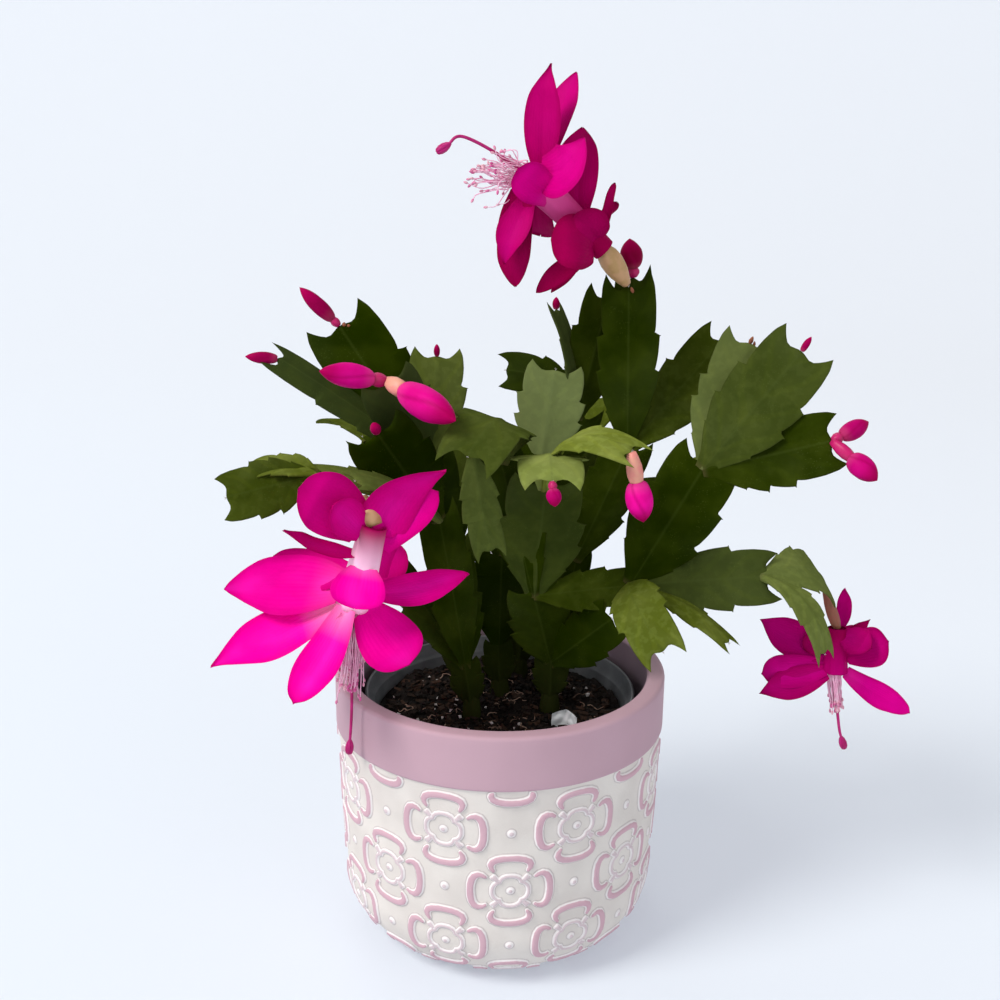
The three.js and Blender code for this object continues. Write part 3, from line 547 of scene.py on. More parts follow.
FINISHES = {
    "leaf": leaf_finish(),
    # Painted glow: the left bloom's petals glow most, the top bloom's faintly, the right bloom's not at all.
    "left_petals": petal_finish("left_petals", (0.36, 0.0, 0.08, 1), (0.90, 0.0, 0.34, 1), PALE_PETAL,
                                painted_glow=0.2, painted_violet_sheen=0.35),
    "top_petals": petal_finish("top_petals", (0.30, 0.0, 0.055, 1), (0.66, 0.0, 0.24, 1), PINK_PETAL,
                               painted_glow=0.05, painted_violet_sheen=0.1),
    "right_petals": petal_finish("right_petals", (0.32, 0.0, 0.07, 1), (0.74, 0.0, 0.30, 1), PINK_PETAL,
                                 painted_glow=0.0, painted_violet_sheen=0.2),
    "bud": bud_finish(),
    "ovary": flesh_finish("ovary_skin", (0.54, 0.31, 0.16, 1), (0.40, 0.25, 0.09, 1), 0.4),
    "bud_ovary": flesh_finish("bud_ovary_skin", (0.74, 0.26, 0.22, 1), (0.70, 0.36, 0.24, 1), 0.4),
    "young_ovary": flesh_finish("young_ovary_skin", (0.50, 0.006, 0.12, 1), (0.40, 0.02, 0.10, 1), 0.4),
    "red_ovary": flesh_finish("red_ovary_skin", (0.30, 0.09, 0.06, 1), (0.22, 0.12, 0.05, 1), 0.4),
    "filament": flesh_finish("filament_skin", (0.86, 0.42, 0.60, 1), (0.90, 0.66, 0.76, 1), 0.35),
    "anther": flesh_finish("anther_skin", (0.62, 0.10, 0.30, 1), (0.86, 0.62, 0.62, 1), 0.6),
    "style": flesh_finish("style_skin", (0.36, 0.004, 0.11, 1), (0.52, 0.015, 0.19, 1), 0.35),
    "band": paint_finish(),
    "relief": relief_finish(),
    "plastic": plastic_finish(),
    "soil": soil_finish("damp_soil", (0.0018, 0.0014, 0.001, 1), (0.013, 0.008, 0.006, 1), 0.85),
    "bark": soil_finish("bark_bits", (0.006, 0.004, 0.0025, 1), (0.038, 0.018, 0.010, 1), 0.75),
    "root": soil_finish("bare_roots", (0.12, 0.07, 0.05, 1), (0.30, 0.20, 0.15, 1), 0.7),
    "scale": flesh_finish("dried_scale", (0.30, 0.10, 0.045, 1), (0.16, 0.05, 0.03, 1), 0.7),
    "speck": flesh_finish("pale_specks", (0.62, 0.58, 0.56, 1), (0.45, 0.40, 0.38, 1), 0.8),
    "label": label_finish(),
    "floor": floor_finish(),
}


# Building meshes

UPRIGHT = np.array([0, 0, 1.0])
CENTRE = [0, 0, 0]
# Radius at which a turned body closes on its axis
CLOSED = 0.05
# Span of a free turn, in radians
FREE_TURN = 6.28
NEARLY_ALONG = 0.9


class Form:
    """Corners, faces and named values of one piece, gathered part by part in millimetres."""

    def __init__(self):
        self.corners = []
        self.faces = []
        self.values = []
        self.count = 0

    def add(self, corners, faces, **values):
        corners = np.asarray(corners, float).reshape(-1, 3)
        self.corners.append(corners)
        self.faces.extend((np.asarray(faces) + self.count).tolist())
        self.values.append((len(corners), values))
        self.count += len(corners)

    def piece(self, name, finish, nodes, smooth=True):
        """Makes the object, hides the imported nodes it stands for and rides it on the root."""
        mesh = bpy.data.meshes.new(name)
        mesh.from_pydata((np.vstack(self.corners) * MM).tolist(), [], self.faces)
        labels = sorted({label for _, values in self.values for label in values})
        for label in labels:
            column = np.concatenate([
                np.broadcast_to(np.asarray(values.get(label, 0.0), float).ravel(), count)
                for count, values in self.values
            ])
            store = mesh.attributes.new(label, "FLOAT", "POINT")
            store.data.foreach_set("value", column.astype(np.float32))
        mesh.polygons.foreach_set("use_smooth", [smooth] * len(mesh.polygons))
        mesh.materials.append(finish)
        mesh.update()
        made = bpy.data.objects.new(name, mesh)
        bpy.context.scene.collection.objects.link(made)
        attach(made, "root")
        if nodes:
            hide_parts(*nodes)


def grid_faces(rows, columns, closed=False, flip=False):
    """Four-sided faces over a grid of corners, closed round its columns if asked."""
    row, column = np.meshgrid(np.arange(rows - 1), np.arange(columns if closed else columns - 1),
                              indexing="ij")
    after = (column + 1) % columns
    quads = np.stack([
        row * columns + column,
        row * columns + after,
        (row + 1) * columns + after,
        (row + 1) * columns + column,
    ], axis=-1).reshape(-1, 4)
    return quads[:, ::-1] if flip else quads


def unit(vector):
    """A vector, or each of many, at length 1."""
    vector = np.asarray(vector, float)
    return vector / np.linalg.norm(vector, axis=-1, keepdims=True)


def across_axis(axis):
    """Two unit vectors square to an axis."""
    spare = np.array([1.0, 0, 0]) if abs(axis[0]) < NEARLY_ALONG else np.array([0, 1.0, 0])
    right = unit(np.cross(spare, axis))
    return right, np.cross(axis, right)


def smooth_curve(points, steps):
    """A Catmull-Rom curve through the points."""
    points = np.asarray(points, float)
    padded = np.vstack([2 * points[0] - points[1], points, 2 * points[-1] - points[-2]])
    spots = []
    for place in np.linspace(0, len(points) - 1, steps):
        i = min(int(place), len(points) - 2)
        t = place - i
        a, b, c, d = padded[i:i + 4]
        spots.append(0.5 * (2 * b + (c - a) * t + (2 * a - 5 * b + 4 * c - d) * t * t
                            + (3 * b - a - 3 * c + d) * t ** 3))
    return np.array(spots)


def add_tube(form, path, radii, sides=6, **values):
    """A round tube along a path, closed at both ends by its own radii."""
    path = np.asarray(path, float)
    heading = unit(np.gradient(path, axis=0))
    right, _ = across_axis(heading[0])
    turns = np.linspace(0, 2 * np.pi, sides, endpoint=False)
    rings = []
    for spot, ahead, radius in zip(path, heading, radii):
        right = unit(right - ahead * right.dot(ahead))
        up = np.cross(ahead, right)
        rings.append(spot + radius * (np.cos(turns)[:, None] * right + np.sin(turns)[:, None] * up))
    form.add(np.array(rings), grid_faces(len(path), sides, closed=True), **values)


def add_turned(form, profile, sides, start, axis, swell=None, **values):
    """A turned body from [radius, height] points, with a swell factor round and along it."""
    profile = np.asarray(profile, float)
    right, up = across_axis(axis)
    turns = np.linspace(0, 2 * np.pi, sides, endpoint=False)
    radius = profile[:, :1] * np.ones(sides)
    if swell is not None:
        radius = radius * swell(turns[None, :], np.linspace(0, 1, len(profile))[:, None])
    corners = (np.asarray(start) + profile[:, 1][:, None, None] * axis
               + radius[..., None] * (np.cos(turns)[:, None] * right + np.sin(turns)[:, None] * up))
    form.add(corners, grid_faces(len(profile), sides, closed=True), **values)


def by_ring(values, sides):
    """One value for each ring of a turned body, repeated round its sides."""
    return np.repeat(np.asarray(values, float)[:, None], sides, axis=1)


def seeded(name):
    """A number source that gives the same values for the same name."""
    return np.random.default_rng(sum((i + 1) * ord(letter) for i, letter in enumerate(name)))


def add_blade(form, start, end, width, face, arch, sweep, outline, thickness, lift=None, **values):
    """A thin arched blade from its joint to its tip.

    Places on it are t along it, from 0 to 1, and s across it, from -1 to 1. The outline holds its
    rows, its columns and the half widths of both sides as shares of half its width. lift(t, s) is
    how far a point runs past its row, as a share of the length, and thickness(t, s, half) gives
    the half thickness and the offset of the blade there. A value may be a function of t and s.
    """
    start = np.asarray(start, float)
    end = np.asarray(end, float)
    length = np.linalg.norm(end - start)
    axis = unit(end - start)
    up = unit(np.asarray(face, float) - axis * np.dot(face, axis))
    side = np.cross(axis, up)
    t, s = np.meshgrid(outline["rows"], outline["columns"], indexing="ij")
    half = np.where(s < 0, outline["left"][:, None], outline["right"][:, None]) * width / 2
    along = t if lift is None else t + lift(t, np.abs(s))
    bulge = (4 * along * (1 - along) * length)[..., None]
    slope = (4 * (1 - 2 * along))[..., None]
    middle = start + (along * length)[..., None] * axis + bulge * (arch * up + sweep * side)
    heading = axis + slope * (arch * up + sweep * side)
    outward = unit(side - heading * (heading @ side / np.sum(heading ** 2, axis=-1))[..., None])
    normal = unit(np.cross(outward, heading))
    thick, offset = thickness(t, s, half)
    surface = middle + outward * (s * half)[..., None] + normal * offset[..., None]
    shown = {label: value(t, s) if callable(value) else value for label, value in values.items()}
    for layer in (1, -1):
        form.add(surface + normal * (layer * thick)[..., None], grid_faces(*t.shape, flip=layer > 0),
                 along=t, across=np.abs(s), **shown)


# Stems

# Each stem has the place of its root in the soil, then its segments as
# [name, parent, areole x, y, z, width, face x, y, z, arch, sweep, tone].
# A segment runs from its parent's areole to its own, with its broad side towards the face vector.
# The tone runs from 0 for the darkest green to 1 for young yellow green.
STEMS = {
    "left_stem": ([-11, -7], [
        ["left_low", "root", -14, -7, 112, 14, 0, -1, 0, 0, 0, 0.05],
        ["left_trunk", "left_low", -24, -13, 174, 19, 0.2, -1, 0.1, 0.03, 0, 0.15],
        ["left_trunk_back", "left_low", -19, 3, 150, 20, 0.1, -1, 0.1, 0, 0, 0.1],
        ["left_side", "left_low", -42, 6, 145, 20, 0.7, -0.6, 0.4, 0, 0, 0.2],
        ["left_riser", "left_trunk_back", -27, -4, 193, 22, 0.3, -1, 0, 0, 0, 0.1],
        ["left_front", "left_trunk", -45, -25, 207, 30, 0.1, -1, 0.3, -0.03, 0, 0.0],
        ["left_arm", "left_trunk", -69, -27, 192, 24, 0, -0.15, 1, 0.08, 0, 0.6],
        ["left_arm_end", "left_arm", -98, -34, 185, 22, -0.1, -0.9, 0.45, 0, 0, 0.34],
        ["left_arm_curl", "left_arm", -93, -18, 191, 20, 0.1, -0.25, 1, 0.1, 0, 0.6],
        ["left_flower_arm", "left_trunk", -51, -43, 194, 18, 0.1, -0.3, 1, 0.1, 0, 0.5],
        ["left_long", "left_riser", -84, 0, 229, 14, 0, -0.7, 0.8, 0.02, 0, 0.12],
        ["left_top", "left_riser", -62, 10, 240, 33, 0.1, -1, 0.1, 0, 0, 0.0],
        ["left_middle", "left_riser", -42, -15, 224, 27, 0.1, -0.9, 0.4, -0.04, 0, 0.2],
        ["left_upper", "left_riser", -25, 4, 230, 24, 0.1, -0.9, 0.3, 0.04, 0, 0.47],
    ]),
    "right_stem": ([20, -1], [
        ["right_low", "root", 20, -2, 112, 15, 0, -1, 0, 0, 0, 0.15],
        ["right_trunk", "right_low", 12, -8, 142, 25, 0.1, -1, 0, 0, 0, 0.2],
        ["right_face", "right_trunk", 16, -16, 187, 33, 0, -1, 0.1, -0.03, 0, 0.25],
        ["right_arch", "right_face", 17, -47, 196, 27, 0, 0.1, 1, 0.3, 0, 0.8],
        ["right_flower_arm", "right_face", 45, -36, 204, 24, -0.2, -0.1, 1, 0.3, 0, 0.75],
        ["right_inner", "right_trunk", -1, -11, 196, 22, -0.2, -1, 0, 0, 0, 0.1],
        ["right_hood", "right_inner", -12, -42, 203, 29, 0.32, 0.1, 1, 0.42, 0, 0.36],
        ["right_droop", "right_hood", -4, -40, 168, 15, 0.3, -1, 0.2, -0.06, 0, 0.4],
        ["right_shoulder", "right_trunk", 52, -12, 146, 17, 0.1, -0.8, 0.5, 0, 0, 0.3],
        ["right_elbow", "right_low", 42, -17, 134, 22, 0.1, -0.8, 0.5, 0, 0, 0.1],
        ["right_tall", "right_shoulder", 76, -8, 193, 32, -0.2, -1, 0.2, 0, 0, 0.12],
        ["right_reach", "right_shoulder", 101, -15, 151, 25, 0, -0.9, 0.45, 0.03, 0, 0.31],
        ["right_lobe", "right_shoulder", 58, -46, 133, 21, -0.5, -0.4, 0.8, 0.25, 0, 0.58],
        ["right_blade", "right_shoulder", 84, -32, 131, 17, 0.3, -0.1, 1, 0.08, 0, 0.6],
        ["right_far", "right_tall", 92, 6, 236, 27, -0.3, -0.9, 0.3, 0, 0, 0.5],
        ["right_broad", "right_tall", 109, -5, 235, 31, -0.1, -0.9, 0.3, 0.02, 0, 0.34],
        ["right_bud_arm", "right_tall", 120, -16, 204, 27, 0.1, -0.9, 0.4, -0.03, 0, 0.2],
        ["right_fall", "right_reach", 127, 5, 140, 24, 0.5, -0.4, 0.9, 0.2, 0, 0.6],
        ["right_tongue", "right_reach", 119, -34, 128, 14, 0.7, -0.8, 0.4, 0.2, 0, 0.6],
    ]),
    "centre_stem": ([0, 12], [
        ["centre_low", "root", -1, 12, 112, 14, 0, -1, 0, 0, 0, 0.1],
        ["centre_trunk", "centre_low", 0, 13, 152, 24, 0.2, -1, 0, 0, 0, 0.0],
        ["centre_riser", "centre_trunk", 16, 10, 191, 24, 0, -1, 0, 0, 0, 0.1],
        ["centre_side", "centre_trunk", 30, 18, 206, 24, 0.3, -1, 0, 0, 0, 0.2],
        ["centre_left", "centre_trunk", -6, 14, 184, 22, 0, -1, 0, 0, 0, 0.1],
        ["centre_pale", "centre_riser", 20, 16, 223, 27, 0, -0.8, 0.6, 0.03, 0, 0.58],
        ["centre_droop", "centre_side", 1, 25, 221, 18, 0.1, -1, 0.3, 0, 0.16, 0.15],
        ["centre_narrow", "centre_side", 20, 26, 245, 15, 0.9, -0.45, 0.3, 0.06, 0, 0.3],
        ["centre_behind", "centre_side", 40, 25, 250, 22, 0, -1, 0.1, 0, 0, 0.2],
    ]),
    "tall_stem": ([22, 17], [
        ["tall_low", "root", 24, 17, 112, 14, 0, -1, 0, 0, 0, 0.1],
        ["tall_trunk", "tall_low", 30, 12, 150, 15, 0, -1, 0.1, 0, 0, 0.1],
        ["tall_riser", "tall_trunk", 49, 8, 196, 22, -0.2, -1, 0.1, 0, 0, 0.2],
        ["tall_top", "tall_riser", 46, 8, 256, 24, 0, -1, 0.1, 0, 0, 0.15],
        ["tall_back", "tall_riser", 49, 22, 258, 18, 0.3, -1, 0.1, 0, 0, 0.15],
        ["tall_side", "tall_riser", 85, 27, 233, 25, -0.3, -0.9, 0.4, 0, 0, 0.35],
    ]),
    "rear_stem": ([-17, 19], [
        ["rear_low", "root", -18, 20, 112, 14, 0.2, 1, 0, 0, 0, 0.15],
        ["rear_trunk", "rear_low", -20, 33, 150, 22, 0.2, 1, 0, 0, 0, 0.2],
        ["rear_left", "rear_trunk", -58, 47, 188, 25, 0.2, 0.8, 0.5, 0.05, 0, 0.25],
        ["rear_right", "rear_trunk", -25, 58, 184, 25, 0, 0.9, 0.4, 0.05, 0, 0.3],
        ["rear_left_end", "rear_left", -72, 73, 188, 24, 0, 0.2, 1, 0.15, 0, 0.5],
        ["rear_right_end", "rear_right", -30, 88, 180, 24, 0.1, 0.4, 1, 0.2, 0, 0.55],
    ]),
    "back_stem": ([8, 33], [
        ["back_low", "root", 9, 34, 112, 14, 0, 1, 0, 0, 0, 0.15],
        ["back_trunk", "back_low", 18, 44, 148, 22, 0, 1, 0.2, 0, 0, 0.2],
        ["back_up", "back_trunk", 40, 60, 188, 25, 0, 1, 0.3, 0.03, 0, 0.3],
        ["back_side", "back_trunk", 72, 48, 168, 25, 0.1, 0.7, 0.8, 0.1, 0, 0.35],
        ["back_side_end", "back_side", 100, 66, 176, 22, 0.1, 0.4, 1, 0.15, 0, 0.55],
        ["back_up_end", "back_up", 56, 90, 196, 22, 0, 0.3, 1, 0.2, 0, 0.5],
    ]),
}

# How strongly a greyish painted sheen lies over a segment, where it shows
PAINTED_GREY_SHEEN_SHARES = {
    "left_long": 0.1, "left_middle": 0.12, "left_upper": 0.08, "left_arm": 0.12, "left_flower_arm": 0.15,
    "right_face": 0.06, "right_arch": 0.25, "right_hood": 0.05, "right_droop": 0.12, "right_reach": 0.1,
    "right_far": 0.25, "right_broad": 0.05, "right_fall": 0.25, "right_tongue": 0.2,
    "centre_pale": 0.5, "centre_narrow": 0.15,
}

ROOT_TOP = 95
ROOT_DEPTH = 20
ROOT_RADIUS = 4
ROOT_STUB = [
    [ROOT_RADIUS * 0.7, -ROOT_DEPTH], [ROOT_RADIUS, -ROOT_DEPTH + 5], [ROOT_RADIUS * 0.98, -5],
    [ROOT_RADIUS * 0.8, 0], [ROOT_RADIUS * 0.45, 2], [CLOSED, 3],
]
ROOT_SIDES = 20
FLUTES = 4
FLUTE_DEPTH = 0.06
FLUTE_TWIST = 3

# Segments, in millimetres
JOINT_SINK = 3
RIB_THICKNESS = 3.2
RIB_SPREAD = 1.5
LAMINA_THICKNESS = 1.7
EDGE_THICKNESS = 0.9
SIDE_VEIN_HEIGHT = 0.12
LEAF_CUPS = (-0.6, 1.0)
LEAF_WAVES = (0.25, 0.6)
WOODY_RIB = 1.9
WOODY_SHADE = 0.75

# Their half width along the length, as shares of both
ENVELOPE_ALONG = [0, 0.05, 0.1, 0.2, 0.3, 0.4, 0.5, 0.6, 0.75, 0.88, 0.95, 1]
ENVELOPE_HALF = [0.2, 0.26, 0.34, 0.58, 0.79, 0.93, 1.0, 1.01, 0.98, 0.9, 0.82, 0.7]
LEAF_COLUMNS = np.array([0, 0.07, 0.14, 0.25, 0.4, 0.56, 0.7, 0.82, 0.9, 0.95, 0.98, 0.994, 1])
EVEN_ROWS = np.linspace(0, 0.94, 30)
END_ROWS = (0.955, 0.97, 0.982, 0.992, 1.0)

# Their forward teeth, as shares of the length and of the half width
TOOTH_PLACES = np.array([0.26, 0.47, 0.7])
TOOTH_DEPTHS = np.array([0.08, 0.16, 0.19])
TOOTH_SHIFT = 0.035
TOOTH_SCALES = (0.75, 1.2)
TOOTH_ROWS = (-0.012, 0, 0.012, 0.024)
TOOTH_DROP = 0.018
TOOTH_POINT = 0.04
TOOTH_CURVE = 0.7
LAST_CURVE = 0.6
LAST_RISE_END = 0.97

# Their two horns and the dip beside each, as shares of the length and of the half width
HORN_REACH = 0.08
HORN_START = 0.55
HORN_WIDTH = 0.45
HORN_CURVE = 1.6
DIP_DEPTH = 0.018
DIP_PLACE = 0.42
DIP_WIDTH = 0.22
HORN_ROOT = 0.7
HORN_LENGTH = 0.3

BRISTLES = 7
BRISTLE_LEAN = 0.9
BRISTLE_LENGTHS = (0.6, 1.3)
BRISTLE_RADII = [0.09, 0.07, 0.01]

areoles = {}


def leaf_outline(name):
    """Rows along a segment and its two toothed half widths."""
    chance = seeded(name)
    sides = []
    for _ in range(2):
        tips = TOOTH_PLACES + chance.uniform(-TOOTH_SHIFT, TOOTH_SHIFT, 3)
        depths = TOOTH_DEPTHS * chance.uniform(*TOOTH_SCALES, 3)
        sides.append((tips, depths))
    rows = set(EVEN_ROWS.round(4)) | set(END_ROWS)
    for tips, _ in sides:
        rows |= {round(tip + shift, 4) for tip in tips for shift in TOOTH_ROWS}
    rows = np.array(sorted(rows))
    halves = []
    for tips, depths in sides:
        cut = np.zeros_like(rows)
        notch = 0.0
        before = 0.0
        for tip, depth in zip(tips, depths):
            since = (rows - notch - TOOTH_DROP) / (tip - notch - TOOTH_DROP)
            rising = (since >= 0) & (since <= 1)
            cut = np.where(rising, before * (1 - np.clip(since, 0, 1) ** TOOTH_CURVE), cut)
            dropping = (rows > tip) & (rows < tip + TOOTH_DROP)
            cut = np.where(dropping, depth * (rows - tip) / TOOTH_DROP, cut)
            cut = np.where(np.abs(rows - tip) < 1e-4, -TOOTH_POINT, cut)
            notch = tip
            before = depth
        last = notch + TOOTH_DROP
        since = np.clip((rows - last) / (LAST_RISE_END - last), 0, 1)
        cut = np.where(rows >= last, before * (1 - since ** LAST_CURVE), cut)
        halves.append(np.interp(rows, ENVELOPE_ALONG, ENVELOPE_HALF) * (1 - cut))
    columns = np.concatenate([-LEAF_COLUMNS[:0:-1], LEAF_COLUMNS])
    return {"rows": rows, "columns": columns, "left": halves[0], "right": halves[1]}


def horn_lift(t, s):
    """The end of a segment: two forward horns with a shallow dip beside each."""
    dip = DIP_DEPTH * np.exp(-((s - DIP_PLACE) / DIP_WIDTH) ** 2)
    horn = HORN_REACH * np.clip((s - HORN_START) / HORN_WIDTH, 0, 1) ** HORN_CURVE
    return (horn - dip) * np.clip((t - HORN_ROOT) / HORN_LENGTH, 0, 1) ** 2


def leaf_thickness(name, rib):
    """Thick middle rib that fades to the tip, even lamina with side veins, thin wavy edge."""
    chance = seeded(name + "_waves")
    phase = chance.uniform(0, FREE_TURN)
    cup = chance.uniform(*LEAF_CUPS)
    waves = chance.uniform(*LEAF_WAVES)

    def shape(t, s, half):
        edge = np.abs(s)
        body = EDGE_THICKNESS + (LAMINA_THICKNESS - EDGE_THICKNESS) * (1 - edge ** 2.5)
        ridge = np.exp(-(s * half / RIB_SPREAD) ** 2) * (rib - LAMINA_THICKNESS) * (1 - 0.6 * t)
        rounded = np.sqrt(np.clip(1 - edge ** 14, 0, 1))
        ending = np.sqrt(np.clip(1 - (np.clip(t - 0.95, 0, 1) / 0.05) ** 2, 0, 1))
        wave = waves * np.sin(2 * np.pi * 1.6 * t + phase + 0.9 * np.sign(s)) * edge ** 2
        veins = SIDE_VEIN_HEIGHT * np.sin((t - 0.3 * edge) * SIDE_VEINS) * edge * (1 - edge ** 4)
        return (body + ridge) / 2 * rounded * ending, cup * (edge ** 2 - 0.25) + wave + veins

    return shape


def add_bristles(form, place, heading, chance):
    """A small tuft of stiff hairs at an areole."""
    right, up = across_axis(heading)
    for _ in range(BRISTLES):
        lean = unit(heading + chance.uniform(-BRISTLE_LEAN, BRISTLE_LEAN) * right
                    + chance.uniform(-BRISTLE_LEAN, BRISTLE_LEAN) * up)
        reach = chance.uniform(*BRISTLE_LENGTHS)
        add_tube(form, place + np.outer([0, 0.5 * reach, reach], lean), BRISTLE_RADII, sides=3)


def end_heading(start, end, face, arch, sweep):
    """The direction in which an arched segment reaches its areole."""
    axis = unit(end - start)
    up = unit(np.asarray(face, float) - axis * np.dot(face, axis))
    return unit(axis - 4 * arch * up - 4 * sweep * np.cross(axis, up))


def build_stem(stem, root, segments):
    """The root stub of a stem, its segments, and a tuft of bristles at each areole."""
    form = Form()
    bristles = Form()
    base = np.array([root[0], root[1], ROOT_TOP], float)
    ends = {"root": (base, UPRIGHT)}
    chance = seeded(stem)
    phase = chance.uniform(0, FREE_TURN)

    def fluted(turn, height):
        return 1 + FLUTE_DEPTH * np.sin(FLUTES * turn + phase + FLUTE_TWIST * height)

    add_turned(form, ROOT_STUB, ROOT_SIDES, base, UPRIGHT, swell=fluted,
               wood=0.8, along=0.5, across=0.5, tone=0.1)
    for name, parent, x, y, z, width, face_x, face_y, face_z, arch, sweep, tone in segments:
        joint, reached = ends[parent]
        start = joint - reached * JOINT_SINK
        end = np.array([x, y, z], float)
        face = [face_x, face_y, face_z]
        is_woody = name.endswith("_low")
        shade = WOODY_SHADE if is_woody else 0.0
        rib = RIB_THICKNESS * (WOODY_RIB if is_woody else 1.0)
        add_blade(form, start, end, width, face, arch, sweep,
                  leaf_outline(name), leaf_thickness(name, rib), horn_lift,
                  tone=tone, haze=PAINTED_GREY_SHEEN_SHARES.get(name, 0.0), wood=lambda t, s, shade=shade: shade * (1 - 0.6 * t))
        ends[name] = (end, end_heading(start, end, face, arch, sweep))
        areoles[name] = end
        add_bristles(bristles, end, unit(end - start), chance)
    form.piece(stem + "_segments", FINISHES["leaf"], [stem])
    bristles.piece(stem + "_bristles", FINISHES["speck"], [])


for stem_name, (stem_root, stem_segments) in STEMS.items():
    build_stem(stem_name, stem_root, stem_segments)


# Dried scales at three tips

# Each as [segment that bears it, shift x, y, z, length, radius]
SCALES = [
    ["right_far", 0, 0, 0, 3.4, 0.9],
    ["right_far", 1.6, 0, -0.8, 2.2, 0.6],
    ["tall_top", 1.5, -1, -1.5, 2.6, 0.7],
    ["left_top", 1.8, -0.5, 0.4, 1.8, 0.9],
    ["left_top", 3.6, -0.5, 0.2, 1.4, 0.7],
]
SCALE_LEAN = 0.5
SCALE_SINK = 0.6
SCALE_TIP = 0.02


def build_scales():
    """Small dried scales that stand at the areoles where no bud grew."""
    form = Form()
    chance = seeded("scales")
    for bearer, x, y, z, length, radius in SCALES:
        lean = unit([chance.uniform(-SCALE_LEAN, SCALE_LEAN), chance.uniform(-SCALE_LEAN, 0), 1.0])
        base = areoles[bearer] + np.array([x, y, z], float) - SCALE_SINK * lean
        outline = [[SCALE_TIP, 0], [radius * 0.7, length * 0.15], [radius, length * 0.45],
                   [radius * 0.6, length * 0.8], [SCALE_TIP, length]]
        add_turned(form, outline, 10, base, lean)
    form.piece("dried_scales", FINISHES["scale"], [])


build_scales()


# Buds

# Each as [name, segment that bears it, tip x, y, z, radius, length of the ovary, tone].
# The tone runs from 0 for dark crimson to 1 for bright pink.
BUDS = [
    ["bud_left_top", "left_top", -76.4, 9, 254.4, 3, 3.1, 0.1],
    ["bud_left_long", "left_long", -95.6, -2.1, 230.1, 2.3, 0, 0.1],
    ["bud_left_inner", "left_middle", -65, -26, 229.5, 4.6, 5.3, 0.75],
    ["bud_left_big", "left_middle", -16.3, -40.7, 215.4, 6, 8.5, 0.78],
    ["bud_left_front", "left_front", -46.1, -27.2, 211.4, 2, 0, 0.1],
    ["bud_left_upper", "left_upper", -25, 2.8, 234.8, 1.2, 0, 0.05],
    ["bud_centre", "centre_narrow", 20, 26, 249.8, 1.5, 0, 0.05],
    ["bud_arch", "right_arch", 18.1, -51.4, 188.2, 2.7, 2.4, 0.35],
    ["bud_hanging", "right_flower_arm", 50.3, -36, 178.3, 5, 10.7, 1.0],
    ["bud_right_broad", "right_broad", 112.2, -5, 240.4, 1.3, 0, 0.1],
    ["bud_right_upper", "right_bud_arm", 134, -11.7, 210.4, 3.6, 3.6, 0.35],
    ["bud_right_lower", "right_bud_arm", 134.1, -28.7, 192.7, 4.4, 8.9, 0.5],
    ["bud_behind", "tall_back", 46.9, 21, 272.7, 4.4, 3.2, 0],
]
PALE_OVARIES = ("bud_left_big", "bud_hanging")

# Half width of a bud along its length, as shares of both
BUD_OUTLINE = [[0, 0.5], [0.08, 0.76], [0.25, 0.95], [0.42, 1.0], [0.62, 0.92], [0.8, 0.66], [0.92, 0.34],
               [1, 0.01]]
BUD_ROWS = np.linspace(0, 1, 30) ** 0.9
BUD_SIDES = 48
BUD_OVARY_GAP = 0.3
BUD_OVARY_SINK = 0.7
BUD_OVARY_END = 0.8
BUD_OVARY_SIDES = 24

# Petals of a bud that lap over one another, as shares of one petal and of the radius
OVERLAPS = 3
OVERLAP_TWIST = 0.55
LAP_RISE = 0.8
LAP_FALL = 0.2
LAP_HEIGHT = 0.08
LAP_BASE = 0.93
SEAM_WIDTH = 0.1

# An ovary has four soft ridges
OVARY_RIDGES = 4
OVARY_RIDGE_HEIGHT = 0.05


def ovary_swell(turn, _):
    """The soft ridges round an ovary, alike along it."""
    return 1 + OVARY_RIDGE_HEIGHT * np.cos(OVARY_RIDGES * turn)


